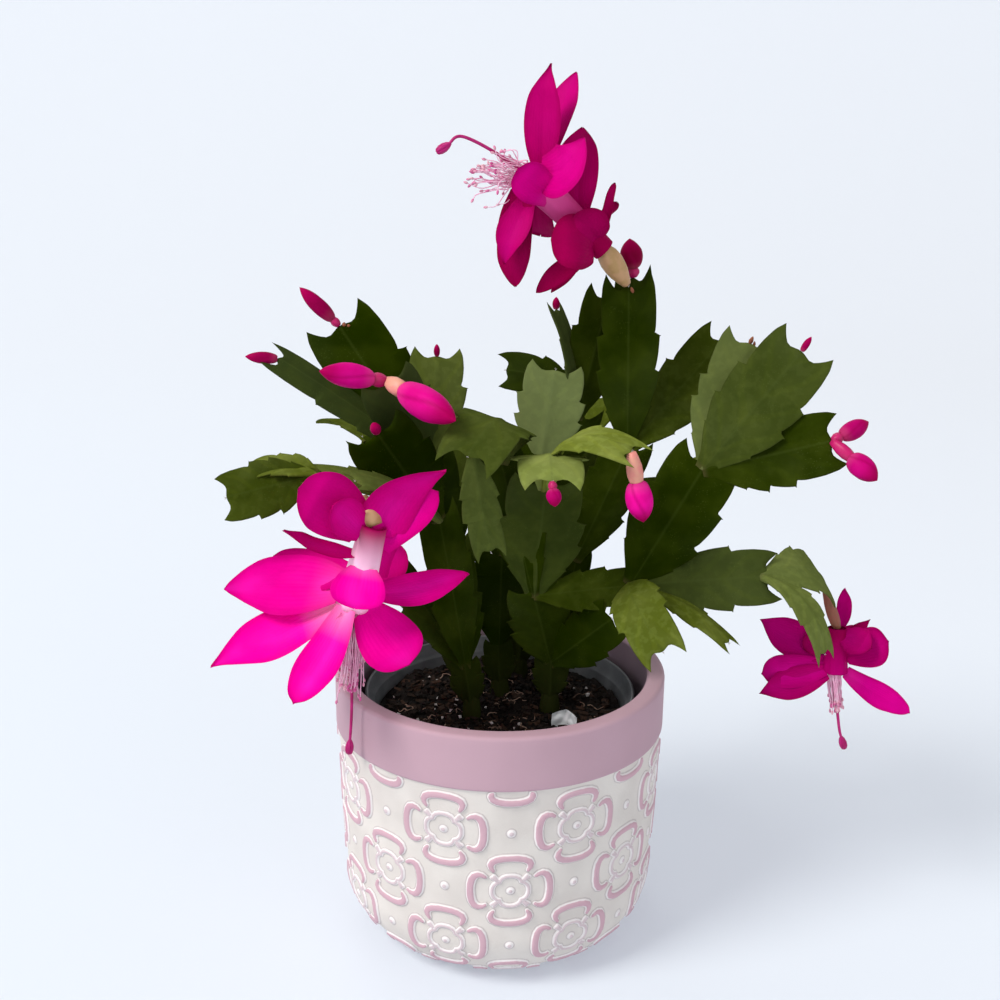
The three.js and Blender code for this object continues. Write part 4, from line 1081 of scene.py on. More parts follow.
def build_bud(name, base, tip, radius, ovary_length, tone):
    """Closed petals that wrap over one another in a spiral, on a small ovary if there is one."""
    length = np.linalg.norm(tip - base)
    axis = unit(tip - base)
    begin = ovary_length + BUD_OVARY_GAP if ovary_length > 0 else 0.0
    curve = smooth_curve(BUD_OUTLINE, 80)
    profile = np.stack([
        radius * np.interp(BUD_ROWS, curve[:, 0], curve[:, 1]),
        begin + (length - begin) * BUD_ROWS,
    ], axis=1)
    spin = seeded(name).uniform(0, FREE_TURN)
    rise = BUD_ROWS[:, None]

    def place_in_petal(turn):
        """How far round its own petal a point is, from 0 to 1."""
        phase = OVERLAPS * (turn + spin) / (2 * np.pi) + OVERLAP_TWIST * rise
        return phase - np.floor(phase)

    def swell(turn, _):
        """Each petal rises slowly and falls off softly past its margin."""
        share = place_in_petal(turn)
        lap = np.minimum(share / LAP_RISE, (1 - share) / LAP_FALL)
        return LAP_BASE + LAP_HEIGHT * lap * np.sin(np.pi * np.clip(rise * 1.1, 0, 1)) ** 0.5

    share = place_in_petal(np.linspace(0, 2 * np.pi, BUD_SIDES, endpoint=False)[None, :])
    seam = np.clip(1 - np.minimum(share, 1 - share) / SEAM_WIDTH, 0, 1)
    form = Form()
    add_turned(form, profile, BUD_SIDES, base, axis, swell=swell,
               along=by_ring(BUD_ROWS, BUD_SIDES), across=seam, tone=tone)
    form.piece(name + "_petals", FINISHES["bud"], [name])
    if ovary_length > 0:
        ovary = Form()
        outline = [
            [CLOSED, 0], [radius * 0.3, 0.05], [radius * 0.42, ovary_length * 0.2],
            [radius * 0.55, ovary_length * 0.5], [radius * 0.56, ovary_length * 0.8],
            [radius * 0.48, ovary_length], [radius * 0.42, ovary_length + BUD_OVARY_SINK],
            [CLOSED, ovary_length + BUD_OVARY_END],
        ]
        add_turned(ovary, outline, BUD_OVARY_SIDES, base, axis, swell=ovary_swell)
        skin = FINISHES["bud_ovary" if name in PALE_OVARIES else "young_ovary"]
        ovary.piece(name + "_ovary_skin", skin, [name + "_ovary"])


for bud_name, bearer, x, y, z, bud_radius, bud_ovary, bud_tone in BUDS:
    build_bud(bud_name, areoles[bearer], np.array([x, y, z], float), bud_radius, bud_ovary, bud_tone)


# Blooms

# Each has the points down its middle, from the foot of its ovary to its stigma, and its own sizes,
# finishes and stamens. Its filaments end within the spread, and bend aside by up to the curl.
# The odd one strays by the stray vector. Its tepals are
# [place, tip x, y, z, width, face x, y, z, arch, sweep, tone, point].
# The place is where a tepal springs from the tube, from 0 at the neck to 1 at the throat.
# The tone runs from 0 for crimson to 1 for bright magenta.
# The point runs from 0 for a round tip to 1 for a sharp one.
BLOOMS = {
    "left_bloom": {
        "ovary_base": [-48.5, -45.8, 189.4],
        "neck": [-44, -51, 181],
        "throat": [-52, -47, 150],
        "stamens": [-54, -45, 119],
        "crest": [-54, -44, 108],
        "stigma": [-55, -44, 94],
        "radius": 6.4,
        "ovary_radius": 4.2,
        "petals": "left_petals",
        "skin": "ovary",
        "filaments": 84,
        "spread": 5,
        "tube_tone": 0.7,
        "tube_paleness": 1.0,
        "paling_start": 0.03,
        "curl": 1.2,
        "stray": [-1, -2, -3],
        "tepals": [
            [0.05, -67, -62, 196, 22, 0, -0.9, 0.4, -0.02, 0.06, 0.38, 0.25],
            [0.05, -56, -62, 191, 14, 0, -0.8, 0.5, 0, 0, 0.38, 0.3],
            [0.35, -72, -63, 183, 8, 0, -0.5, 0.8, -0.1, 0, 0.15, 1],
            [0.05, -36, -53, 193, 14, 0.2, -1, 0.1, -0.1, 0, 0.4, 0.2],
            [0.2, -22, -56, 194, 14, 0, -1, 0.3, -0.1, -0.05, 0.5, 0.4],
            [0.6, -19, -60, 202, 18, 0.2, -1, 0, -0.1, -0.16, 0.35, 0.85],
            [0.45, -50, -61, 154, 19, 0, -1, 0.3, 0.15, 0, 0.9, 0.05],
            [0.85, -98, -44, 155, 26, 0, -0.64, 0.77, -0.1, 0.08, 0.75, 0.75],
            [0.7, -83, -30, 162, 18, 0, -0.64, 0.77, -0.12, 0, 0.45, 0.3],
            [1, -100, -62, 133, 20, 0, -0.64, 0.77, -0.12, 0.06, 1, 0.9],
            [1, -70, -74, 126, 15, 0, -0.64, 0.77, -0.12, 0, 0.95, 0.2],
            [1, -32, -62, 135, 22, 0, -0.7, 0.7, -0.12, 0, 0.65, 0.05],
            [0.85, -12, -40, 160, 14, 0, -0.64, 0.77, -0.12, 0, 0.6, 0.7],
            [0.85, -37, -22, 164, 16, 0, -0.64, 0.77, -0.12, 0, 0.3, 0.4],
        ],
    },
    "top_bloom": {
        "ovary_base": [45.3, 7.6, 257.0],
        "neck": [36, 3, 270],
        "throat": [8, -3, 296],
        "stamens": [-9, -8, 299],
        "crest": [-14, -9, 309],
        "stigma": [-21, -11, 306],
        "radius": 6,
        "ovary_radius": 4.1,
        "petals": "top_petals",
        "skin": "ovary",
        "filaments": 56,
        "spread": 9,
        "tube_tone": 0.9,
        "tube_paleness": 0.45,
        "paling_start": 0.3,
        "curl": 3.5,
        "stray": [3, 0, -11],
        "tepals": [
            [0.05, 16, -12, 275, 20, -0.3, -0.9, 0.3, 0.2, 0, 0.05, 0.1],
            [0.1, 25, -9, 284, 16, -0.3, -0.9, 0.3, 0.2, 0, 0.1, 0.2],
            [0.05, 11, -4, 255, 8, -0.4, -0.9, 0, 0.1, 0, 0, 0.6],
            [0.1, 17, 4, 254, 6, -0.3, -0.9, -0.1, 0.05, 0, 0, 0.8],
            [0.05, 39, 3, 294, 4, -0.5, -0.8, 0, 0.05, 0, 0.1, 0.2],
            [0.15, 41, 12, 286, 5, -0.5, -0.8, 0, 0.05, 0, 0.1, 0.1],
            [0.1, 24, 20, 276, 14, -0.7, -0.3, 0.6, 0.15, 0, 0.15, 0.4],
            [1, 14, -8, 334, 15, -0.5, -0.9, 0.2, 0.03, 0, 0.35, 1],
            [1, 25, 6, 331, 15, -0.6, -0.7, 0.3, 0.05, 0, 0.6, 0.7],
            [1, 26, -18, 310, 20, -0.5, -0.8, 0.4, 0.05, 0.28, 0.69, 0.8],
            [0.75, 4, -15, 299, 14, -0.3, -0.9, 0.2, 0.1, 0, 0.78, 0],
            [0.4, 27, 12, 314, 16, -0.3, -0.9, 0.2, 0.1, 0, 0.3, 0.8],
            [1, 3, -6, 257, 15, -0.5, -0.9, -0.2, 0.04, 0, 0.05, 0.6],
            [0.9, -1, -12, 266, 12, -0.5, -0.9, -0.2, 0.07, 0, 0.35, 0.8],
            [0.8, 13, 12, 274, 16, -0.4, -0.9, 0, 0.1, 0, 0.2, 0.2],
        ],
    },
    "right_bloom": {
        "ovary_base": [127.4, 4.8, 138.9],
        "neck": [133, 2, 124],
        "throat": [133, 0, 106],
        "stamens": [135, -1, 91],
        "crest": [136, -2, 84],
        "stigma": [138, -2, 77],
        "radius": 5,
        "ovary_radius": 2.2,
        "petals": "right_petals",
        "skin": "red_ovary",
        "filaments": 60,
        "spread": 3.1,
        "tube_tone": 0.3,
        "tube_paleness": 0.0,
        "paling_start": 0.3,
        "curl": 0.8,
        "stray": [0, 0, -2],
        "tepals": [
            [0.05, 137, 10, 138, 7, -0.6, -0.7, 0.3, -0.15, 0, 0.55, 0.7],
            [0.1, 143, -8, 121, 13, 0, -0.8, 0.6, -0.1, 0, 0.3, 0.4],
            [0.4, 149, 12, 124, 6, 0, -0.8, 0.6, -0.1, 0, 0.05, 1],
            [0.15, 121, 4, 114, 10, 0, -0.8, 0.6, -0.1, 0, 0.1, 0.3],
            [0.6, 152, -4, 121, 16, 0, -0.8, 0.6, -0.1, 0, 0.35, 0.1],
            [1, 159, -15, 97, 11, 0, -0.7, 0.7, -0.1, 0, 0.74, 0.3],
            [0.6, 104, 10, 124, 16, 0, -0.8, 0.6, -0.1, 0, 0.4, 0.9],
            [0.9, 104, -8, 109, 14, 0, -0.8, 0.6, -0.1, 0, 0.5, 0.1],
            [1, 102, -15, 104, 13, 0, -0.8, 0.6, -0.1, 0, 0.25, 0.8],
            [0.8, 147, 22, 117, 13, 0, -0.6, 0.8, -0.1, 0, 0.2, 0.3],
        ],
    },
}

# Tube of a bloom
NECK_SHARE = 0.72
TUBE_WALL = 1.1
TUBE_ROWS = 18
TUBE_SIDES = 36
PLEATS = 7
PLEAT_DEPTH = 0.04
PALING_LENGTH = 0.65
THROAT_EDGE = 0.85
THROAT_EDGE_LENGTH = 0.15

# Tepals, with half widths along the length as shares of both
FIRST_PLACE = 0.05
PLACE_SPAN = 0.92
ROUND_TEPAL = [[0, 0.5], [0.25, 0.8], [0.5, 0.97], [0.7, 1.0], [0.85, 0.87], [0.95, 0.55], [1, 0.03]]
SHARP_TEPAL = [[0, 0.5], [0.22, 0.84], [0.45, 1.0], [0.66, 0.86], [0.82, 0.48], [0.93, 0.16], [1, 0.01]]
TEPAL_ROWS = np.concatenate([np.linspace(0, 0.9, 24), [0.92, 0.94, 0.955, 0.97, 0.98, 0.99, 1.0]])
TEPAL_COLUMNS = np.array([0, 0.08, 0.18, 0.3, 0.44, 0.58, 0.72, 0.84, 0.93, 0.98, 1])
TEPAL_EDGE = 0.42
TEPAL_MIDDLE = 0.5
CREASE_DEPTH = 0.5
CREASE_WIDTH = 1.1
TEPAL_CUPS = (0.2, 1.2)
TEPAL_WAVES = (0.3, 0.8)
TIP_CURLS = (-1.2, 0.4)
TIP_CURL_START = 0.75
PALE_BASE = 0.4
PALE_REACH = 0.32
PALE_FROM_TONE = 0.7
PALE_TONE_SPAN = 0.3

# Stamens and their anthers
GOLDEN_TURN = 0.381966
FILAMENT_START = 5
FILAMENT_STEPS = 16
FILAMENT_RADII = np.linspace(0.3, 0.17, FILAMENT_STEPS)
FILAMENT_SIDES = 5
FILAMENT_REACHES = (0.62, 1.08)
FILAMENT_SPREADS = (0.15, 1.0)
BEND_PLACES = (0.4, 0.75)
BEND_SHARES = (0.2, 1)
STRAY_EVERY = 6
STRAY_SHARES = (0.5, 1.0)
ANTHER = [[0.02, -0.2], [0.34, 0], [0.46, 0.5], [0.42, 1.0], [0.2, 1.4], [0.02, 1.5]]
ANTHER_SIDES = 8
COLLAR_BORE = 1.2
COLLAR_SIDES = 20

# Style and the lobes of its stigma, whose places are [along, outward] from its end
STYLE_START = 4.3
STYLE_STEPS = 48
STYLE_RADII = np.linspace(0.7, 0.52, STYLE_STEPS)
STYLE_SIDES = 10
LOBES = 6
LOBE_ALONG = [-2, -0.6, 0.8, 2.2, 3.4, 4]
LOBE_OUTWARD = [0.2, 0.7, 0.95, 0.95, 0.7, 0.4]
LOBE_RADII = [0.3, 0.62, 0.75, 0.7, 0.5, 0.05]
LOBE_SIDES = 7

BLOOM_OVARY_GAP = 0.3
BLOOM_OVARY_SIDES = 32


def tepal_outline(point):
    """Rows along a tepal and its half width, between a round and a sharp outline."""
    halves = []
    for outline in (ROUND_TEPAL, SHARP_TEPAL):
        curve = smooth_curve(outline, 160)
        halves.append(np.interp(TEPAL_ROWS, curve[:, 0], curve[:, 1]))
    half = halves[0] * (1 - point) + halves[1] * point
    columns = np.concatenate([-TEPAL_COLUMNS[:0:-1], TEPAL_COLUMNS])
    return {"rows": TEPAL_ROWS, "columns": columns, "left": half, "right": half}


def tepal_thickness(name):
    """A silky blade with a crease down its middle, a gently waved margin and a tip that curls."""
    chance = seeded(name)
    phase = chance.uniform(0, FREE_TURN)
    cup = chance.uniform(*TEPAL_CUPS)
    waves = chance.uniform(*TEPAL_WAVES)
    curl = chance.uniform(*TIP_CURLS)

    def shape(t, s, half):
        edge = np.abs(s)
        body = TEPAL_EDGE + TEPAL_MIDDLE * (1 - edge) * (1 - 0.6 * t)
        rounded = np.sqrt(np.clip(1 - edge ** 10, 0, 1))
        crease = -CREASE_DEPTH * np.exp(-(s * half / CREASE_WIDTH) ** 2) * (1 - t)
        wave = waves * np.sin(2 * np.pi * 1.3 * t + phase + 1.2 * np.sign(s)) * edge ** 2 * np.sin(np.pi * t)
        tip = curl * np.clip(t - TIP_CURL_START, 0, 1) * 8
        return body / 2 * rounded, cup * (edge ** 2 - 0.3) + crease + wave + tip

    return shape


def tepal_light(strength):
    """Pale towards the base of a tepal, most along its middle."""
    def shade(t, s):
        return strength * np.clip(1 - t / PALE_REACH, 0, 1) ** 1.2 * (1 - 0.6 * np.abs(s))
    return shade


def pleated(turn, height):
    """The pleats round a tube, deepest half way up."""
    return 1 + PLEAT_DEPTH * np.cos(PLEATS * turn) * np.sin(np.pi * height)


def add_tube_of_bloom(form, bloom, neck, axis, length):
    """Both walls of a tube: crimson at the neck, brighter and paler towards the throat."""
    wide = bloom["radius"]
    narrow = wide * NECK_SHARE
    heights = np.linspace(0, 1, TUBE_ROWS)
    outside = np.stack([narrow + (wide - narrow) * heights, heights * length], axis=1)
    inside = outside[::-1] - [TUBE_WALL, 0]
    tones = np.clip(1.4 * heights - 0.2, 0, 1) * bloom["tube_tone"]
    paling = np.clip((heights - bloom["paling_start"]) / PALING_LENGTH, 0, 1)
    paling = paling * (1 - 0.6 * np.clip((heights - THROAT_EDGE) / THROAT_EDGE_LENGTH, 0, 1))
    # Where the tube is paler, a glowing petal finish also paints its glow brighter.
    light = np.concatenate([paling, 0.5 * paling[::-1]]) * bloom["tube_paleness"]
    add_turned(form, np.vstack([outside, inside]), TUBE_SIDES, neck, axis, swell=pleated,
               light=by_ring(light, TUBE_SIDES), along=0.2, across=0.5,
               tone=by_ring(np.concatenate([tones, tones[::-1]]), TUBE_SIDES))


def build_petals(name, bloom, neck, throat, axis):
    """The tube and the tepals that spring from it."""
    form = Form()
    add_tube_of_bloom(form, bloom, neck, axis, np.linalg.norm(throat - neck))
    wide = bloom["radius"]
    narrow = wide * NECK_SHARE
    for i, tepal in enumerate(bloom["tepals"]):
        place, x, y, z, width, face_x, face_y, face_z, arch, sweep, tone, point = tepal
        end = np.array([x, y, z], float)
        share = FIRST_PLACE + PLACE_SPAN * place
        centre = neck + (throat - neck) * share
        radius = narrow + (wide - narrow) * share - TUBE_WALL * 0.6
        spoke = end - centre
        spoke = unit(spoke - axis * spoke.dot(axis)) * radius
        bright = min(max((tone - PALE_FROM_TONE) / PALE_TONE_SPAN, 0), 1)
        add_blade(form, centre + spoke, end, width, [face_x, face_y, face_z], arch, sweep,
                  tepal_outline(point), tepal_thickness(f"{name}_{i}"),
                  light=tepal_light(PALE_BASE * place * bright), tone=tone)
    form.piece(name + "_tepals", FINISHES[bloom["petals"]], [name + "_petals"])


def build_stamens(name, bloom, neck, throat, axis):
    """A brush of fine filaments with small anthers, from a collar at the foot of the tube."""
    chance = seeded(name + "_stamens")
    filaments = Form()
    anthers = Form()
    right, up = across_axis(axis)
    end = np.array(bloom["stamens"], float)
    wide = bloom["radius"] * NECK_SHARE - 1.6
    for i in range(bloom["filaments"]):
        turn = 2 * np.pi * (i * GOLDEN_TURN)
        spoke = np.cos(turn) * right + np.sin(turn) * up
        ring = wide * (0.45 + 0.5 * chance.uniform())
        reach = chance.uniform(*FILAMENT_REACHES)
        start = neck + FILAMENT_START * axis + spoke * ring
        mouth = throat + spoke * (ring + 0.8)
        aside = spoke * bloom["spread"] * chance.uniform(*FILAMENT_SPREADS)
        tip = throat + (end - throat) * reach + aside
        if i % STRAY_EVERY == 0:
            tip = tip + np.array(bloom["stray"], float) * chance.uniform(*STRAY_SHARES)
        bends = []
        for share in BEND_PLACES:
            sideways = unit(chance.normal(size=3)) * bloom["curl"] * chance.uniform(*BEND_SHARES)
            bends.append(mouth + (tip - mouth) * share + sideways)
        path = smooth_curve([start, mouth, *bends, tip], FILAMENT_STEPS)
        add_tube(filaments, path, FILAMENT_RADII, sides=FILAMENT_SIDES)
        add_turned(anthers, ANTHER, ANTHER_SIDES, tip, unit(path[-1] - path[-2]))
    collar = [[COLLAR_BORE, 4.4], [wide + 0.2, 4.4], [wide + 0.1, 7], [COLLAR_BORE, 7.2]]
    add_turned(filaments, collar, COLLAR_SIDES, neck, axis)
    filaments.piece(name + "_filaments", FINISHES["filament"], [name + "_stamens"])
    anthers.piece(name + "_anthers", FINISHES["anther"], [])


def build_style(name, bloom, neck, throat, axis):
    """A slender style that passes through the stamens and ends in a closed bundle of stigma lobes."""
    form = Form()
    stigma = np.array(bloom["stigma"], float)
    path = smooth_curve([neck + STYLE_START * axis, throat, bloom["crest"], stigma], STYLE_STEPS)
    add_tube(form, path, STYLE_RADII, sides=STYLE_SIDES)
    heading = unit(path[-1] - path[-3])
    right, up = across_axis(heading)
    for i in range(LOBES):
        turn = 2 * np.pi * i / LOBES
        spoke = np.cos(turn) * right + np.sin(turn) * up
        lobe = stigma + np.outer(LOBE_ALONG, heading) + np.outer(LOBE_OUTWARD, spoke)
        add_tube(form, lobe, LOBE_RADII, sides=LOBE_SIDES)
    form.piece(name + "_style_and_stigma", FINISHES["style"], [name + "_style"])


def build_ovary(name, bloom, start, neck, axis):
    """The ovary under a bloom, which runs a little way into its tube."""
    form = Form()
    length = np.linalg.norm(neck - start) - BLOOM_OVARY_GAP
    wide = bloom["ovary_radius"]
    outline = [
        [CLOSED, 0], [wide * 0.4, 0.1], [wide * 0.55, length * 0.12], [wide * 0.85, length * 0.35],
        [wide * 0.97, length * 0.55], [wide, length * 0.7], [wide * 0.9, length * 0.88],
        [wide * 0.7, length], [wide * 0.64, length + 0.8], [CLOSED, length + 0.9],
    ]
    add_turned(form, outline, BLOOM_OVARY_SIDES, start, axis, swell=ovary_swell)
    form.piece(name + "_ovary_skin", FINISHES[bloom["skin"]], [name + "_ovary"])


for bloom_name, bloom in BLOOMS.items():
    bloom_start = np.array(bloom["ovary_base"], float)
    bloom_neck = np.array(bloom["neck"], float)
    bloom_throat = np.array(bloom["throat"], float)
    bloom_axis = unit(bloom_throat - bloom_neck)
    build_ovary(bloom_name, bloom, bloom_start, bloom_neck, unit(bloom_neck - bloom_start))
    build_petals(bloom_name, bloom, bloom_neck, bloom_throat, bloom_axis)
    build_stamens(bloom_name, bloom, bloom_neck, bloom_throat, bloom_axis)
    build_style(bloom_name, bloom, bloom_neck, bloom_throat, bloom_axis)


# Cover pot

POT_RADIUS = 65
POT_HEIGHT = 107.6
POT_WALL = 7
POT_FLOOR = 9
POT_TAPER = 3.2
POT_FOOT_ROUND = 25
BAND_HEIGHT = 21
BAND_STEP = 0.7
RIM_ROUND = 1.6
BAND_BOTTOM = POT_HEIGHT - BAND_HEIGHT
POT_SIDES = 160
RIM_STEPS = 6

# Relief: eight motifs in a row, every second row set half a step round.
# Lines are [far, near, half width] from the middle of a motif, mirrored into its four arms.
MOTIFS_AROUND = 8
FIRST_MOTIF = 4.3
MOTIF_ROWS = [-2.4, 21.4, 45.2, 69.2, 95.5]
MOTIF_STRETCH = (1.04, 0.96)
ARC_LINE = [[14.4, 0, 1.55], [14.3, 2.4, 1.6], [13.8, 4.8, 1.6], [12.9, 6.4, 1.55], [11.6, 7.1, 1.4],
            [10.2, 6.9, 1.15], [9.0, 6.2, 0.85]]
LOBE_LINE = [[6.6, 0, 0.95], [6.5, 1.4, 1.0], [5.9, 2.8, 1.0], [4.9, 3.6, 0.9], [3.8, 3.8, 0.75]]
DASH_LINE = [[5.0, 4.6, 0.7], [6.7, 5.9, 0.8]]
CENTRE_DOT = 1.5
LONE_DOT = 1.6
RELIEF_HEIGHT = 1.05
RELIEF_SINK = 0.35
RELIEF_COLUMNS = 460
RELIEF_ROWS = 196
WALL_RADIUS = 63.5
FAR_OFF = 9.0
RIDGE_FOOT = 1.15
ARC_FLAT = 0.5
SMALL_FLAT = 0.3
SMALL_SHARE = 0.8
PAINT_REACH = 1.4
UNEVEN_HEIGHT = 0.1


def nearness_to_line(x, y, line):
    """Distance to a line as a share of the line's half width there."""
    nearest = np.full(x.shape, 1e9)
    for (ax, ay, before), (bx, by, after) in zip(line[:-1], line[1:]):
        dx = bx - ax
        dy = by - ay
        share = np.clip(((x - ax) * dx + (y - ay) * dy) / (dx * dx + dy * dy), 0, 1)
        half = before + (after - before) * share
        nearest = np.minimum(nearest, np.hypot(x - ax - share * dx, y - ay - share * dy) / half)
    return nearest


def near_relief(turn, height):
    """How near a point of the wall is to an arc and to a small line or dot, in half widths."""
    step = 2 * np.pi / MOTIFS_AROUND
    around = step * WALL_RADIUS
    arc = np.full(turn.shape, FAR_OFF)
    small = np.full(turn.shape, FAR_OFF)
    for i, row in enumerate(MOTIF_ROWS):
        for offset, is_motif in ((0.0, i % 2 == 0), (0.5, i % 2 == 1)):
            place = (turn - math.radians(FIRST_MOTIF)) / step - offset
            x = (place - np.round(place)) * around
            y = height - row
            if not is_motif:
                small = np.minimum(small, np.hypot(x, y) / LONE_DOT)
                continue
            x = np.abs(x) / MOTIF_STRETCH[0]
            y = np.abs(y) / MOTIF_STRETCH[1]
            far = np.maximum(x, y)
            near = np.minimum(x, y)
            arc = np.minimum(arc, nearness_to_line(far, near, ARC_LINE))
            small = np.minimum(small, nearness_to_line(far, near, LOBE_LINE))
            small = np.minimum(small, nearness_to_line(far, near, DASH_LINE))
            small = np.minimum(small, np.hypot(x, y) / CENTRE_DOT)
    return arc, small


def ridge_of(nearness, flat):
    """1 on the flat top of a raised line, falling smoothly to 0 at its foot."""
    share = np.clip((nearness - flat) / (RIDGE_FOOT - flat), 0, 1)
    return 1 - share * share * (3 - 2 * share)


def wall_profile(height):
    """Radius and z of the wall at a height measured up along its surface."""
    foot = POT_RADIUS - POT_TAPER
    top = POT_RADIUS - BAND_STEP
    bend = np.clip((POT_FOOT_ROUND - height) / POT_FOOT_ROUND, 0, np.pi / 2)
    straight = foot + (top - foot) * (height - POT_FOOT_ROUND) / (BAND_BOTTOM - POT_FOOT_ROUND)
    bent = foot - POT_FOOT_ROUND + POT_FOOT_ROUND * np.cos(bend)
    radius = np.where(height >= POT_FOOT_ROUND, straight, bent)
    z = np.where(height >= POT_FOOT_ROUND, height, POT_FOOT_ROUND * (1 - np.sin(bend)))
    return radius, z, bend


def build_relief(name, first_turn, last_turn):
    """Half of the pot's wall, from its foot to the band, with the lines and dots raised on it."""
    lowest = POT_FOOT_ROUND * (1 - np.pi / 2)
    heights = np.linspace(lowest, BAND_BOTTOM, RELIEF_ROWS)
    turns = np.linspace(first_turn, last_turn, RELIEF_COLUMNS)
    height, turn = np.meshgrid(heights, turns, indexing="ij")
    arc, small = near_relief(turn, height)
    radius, z, bend = wall_profile(height)
    unworn = np.clip((z - 0.6) / 2.5, 0, 1) * np.clip((BAND_BOTTOM - height) / 0.8, 0, 1)
    raised = np.maximum(ridge_of(arc, ARC_FLAT), SMALL_SHARE * ridge_of(small, SMALL_FLAT))
    proud = (raised * RELIEF_HEIGHT - RELIEF_SINK) * unworn
    uneven = UNEVEN_HEIGHT * np.sin(5 * turn + 0.13 * height) * np.sin(3 * turn - 0.07 * height + 1)
    proud = proud + uneven * unworn
    radius = radius + proud * np.cos(bend)
    z = z - proud * np.sin(bend)
    corners = np.stack([radius * np.sin(turn), -radius * np.cos(turn), z], axis=-1)
    form = Form()
    form.add(corners, grid_faces(RELIEF_ROWS, RELIEF_COLUMNS),
             arc=np.clip(PAINT_REACH - arc, 0, PAINT_REACH) * unworn,
             small=np.clip(PAINT_REACH - small, 0, PAINT_REACH) * unworn)
    form.piece(name, FINISHES["relief"], ["pot"])


def rim_corner(turn):
    """How far the rounded rim is set back there, and how high it is."""
    return RIM_ROUND * (1 - np.cos(turn)), POT_HEIGHT - RIM_ROUND * (1 - np.sin(turn))


def build_band():
    """The smooth band, rim, inside wall, floor and underside of the pot."""
    inner = POT_RADIUS - POT_WALL
    profile = [[POT_RADIUS - BAND_STEP - 0.4, BAND_BOTTOM - 0.3], [POT_RADIUS - 0.25, BAND_BOTTOM],
               [POT_RADIUS - 0.05, BAND_BOTTOM + 0.35], [POT_RADIUS, BAND_BOTTOM + 1]]
    profile += [[POT_RADIUS, z] for z in np.linspace(BAND_BOTTOM + 4, POT_HEIGHT - RIM_ROUND, 6)]
    for turn in np.linspace(0, np.pi / 2, RIM_STEPS)[1:]:
        back, z = rim_corner(turn)
        profile.append([POT_RADIUS - back, z])
    for turn in np.linspace(np.pi / 2, 0, RIM_STEPS):
        back, z = rim_corner(turn)
        profile.append([inner + back, z])
    rim_end = len(profile)
    profile += [[inner - 0.6, POT_HEIGHT - 20], [inner - POT_TAPER, POT_FLOOR + RIM_ROUND],
                [inner - POT_TAPER - RIM_ROUND, POT_FLOOR], [CLOSED, POT_FLOOR]]
    shade = np.zeros(len(profile))
    shade[rim_end - 2] = 0.25
    shade[rim_end - 1] = 0.6
    shade[rim_end:] = 1
    form = Form()
    add_turned(form, profile, POT_SIDES, CENTRE, UPRIGHT, inside=by_ring(shade, POT_SIDES))
    flat = POT_RADIUS - POT_TAPER - POT_FOOT_ROUND
    underside = [[CLOSED, 0.0], [flat * 0.6, 0.0], [flat + 0.1, 0.0]]
    add_turned(form, underside, POT_SIDES, CENTRE, UPRIGHT, inside=0.0)
    form.piece("pot_band", FINISHES["band"], ["pot"])


build_band()
build_relief("pot_relief_front", -np.pi / 2, np.pi / 2)
build_relief("pot_relief_back", np.pi / 2, 3 * np.pi / 2)


# Plain plastic pot inside

INNER_RIM_RADIUS = 53.5
INNER_FOOT_RADIUS = 39
INNER_WALL = 1.4
INNER_RIM_BAND = 6
INNER_HEIGHT = 89
INNER_SIDES = 120
SEAT_GAP = 0.3


def build_inner_pot():
    """One closed profile: up the outside, over the rim, and down the inside."""
    foot = POT_FLOOR + SEAT_GAP
    top = foot + INNER_HEIGHT
    body = INNER_RIM_RADIUS - 2
    profile = [
        [CLOSED, foot], [INNER_FOOT_RADIUS - 1, foot], [INNER_FOOT_RADIUS, foot + 1],
        [body, top - INNER_RIM_BAND], [INNER_RIM_RADIUS - 0.3, top - INNER_RIM_BAND + 0.1],
        [INNER_RIM_RADIUS, top - INNER_RIM_BAND + 0.5], [INNER_RIM_RADIUS, top - 0.6],
        [INNER_RIM_RADIUS - 0.5, top], [INNER_RIM_RADIUS - INNER_WALL + 0.4, top],
        [INNER_RIM_RADIUS - INNER_WALL, top - 0.5], [INNER_RIM_RADIUS - INNER_WALL - 0.1, top - 4.5],
        [body - INNER_WALL + 0.2, top - INNER_RIM_BAND], [body - INNER_WALL, top - INNER_RIM_BAND - 0.6],
        [INNER_FOOT_RADIUS - INNER_WALL, foot + INNER_WALL], [CLOSED, foot + INNER_WALL],
    ]
    form = Form()
    add_turned(form, profile, INNER_SIDES, CENTRE, UPRIGHT)
    form.piece("plastic_pot", FINISHES["plastic"], ["inner_pot"])


build_inner_pot()


# Soil, bark, roots and pale specks

SOIL_LEVEL = 89
SOIL_RADIUS = 48.4
SOIL_RINGS = 96
SOIL_SIDES = 260
SOIL_DROP = 0.4

# Bumps of its surface as [bumps per millimetre, place in the noise, height]
SOIL_SWELLS = (0.05, 3.1, 2.6)
SOIL_LUMPS = (0.19, 7.7, 2.0)
SOIL_CRUMB = (0.55, 1.3, 1.9)

BARK_CHIPS = 520
CRUMBS = 900
PALE_SPECKS = 60
ROOTS = 70
ROOT_STEPS = 14
ROOT_RADII = np.linspace(0.28, 0.14, ROOT_STEPS)
BARK_LENGTHS = (1.2, 4.6)
BARK_WIDTH_SHARES = (0.3, 0.7)
BARK_HEIGHTS = (0.5, 1.4)
CRUMB_SIZES = (0.7, 1.9)
SPECK_SIZES = (0.5, 1.1)
ROOT_REACHES = (5, 16)
ROOT_TURNS = (-0.5, 0.5)
CHIP_TILTS = (-0.7, 0.7)
CHIP_ROUGHNESS = 0.16
CHIP_FACES = [[0, 1, 3, 2], [4, 6, 7, 5], [0, 4, 5, 1], [2, 3, 7, 6], [0, 2, 6, 4], [1, 5, 7, 3]]


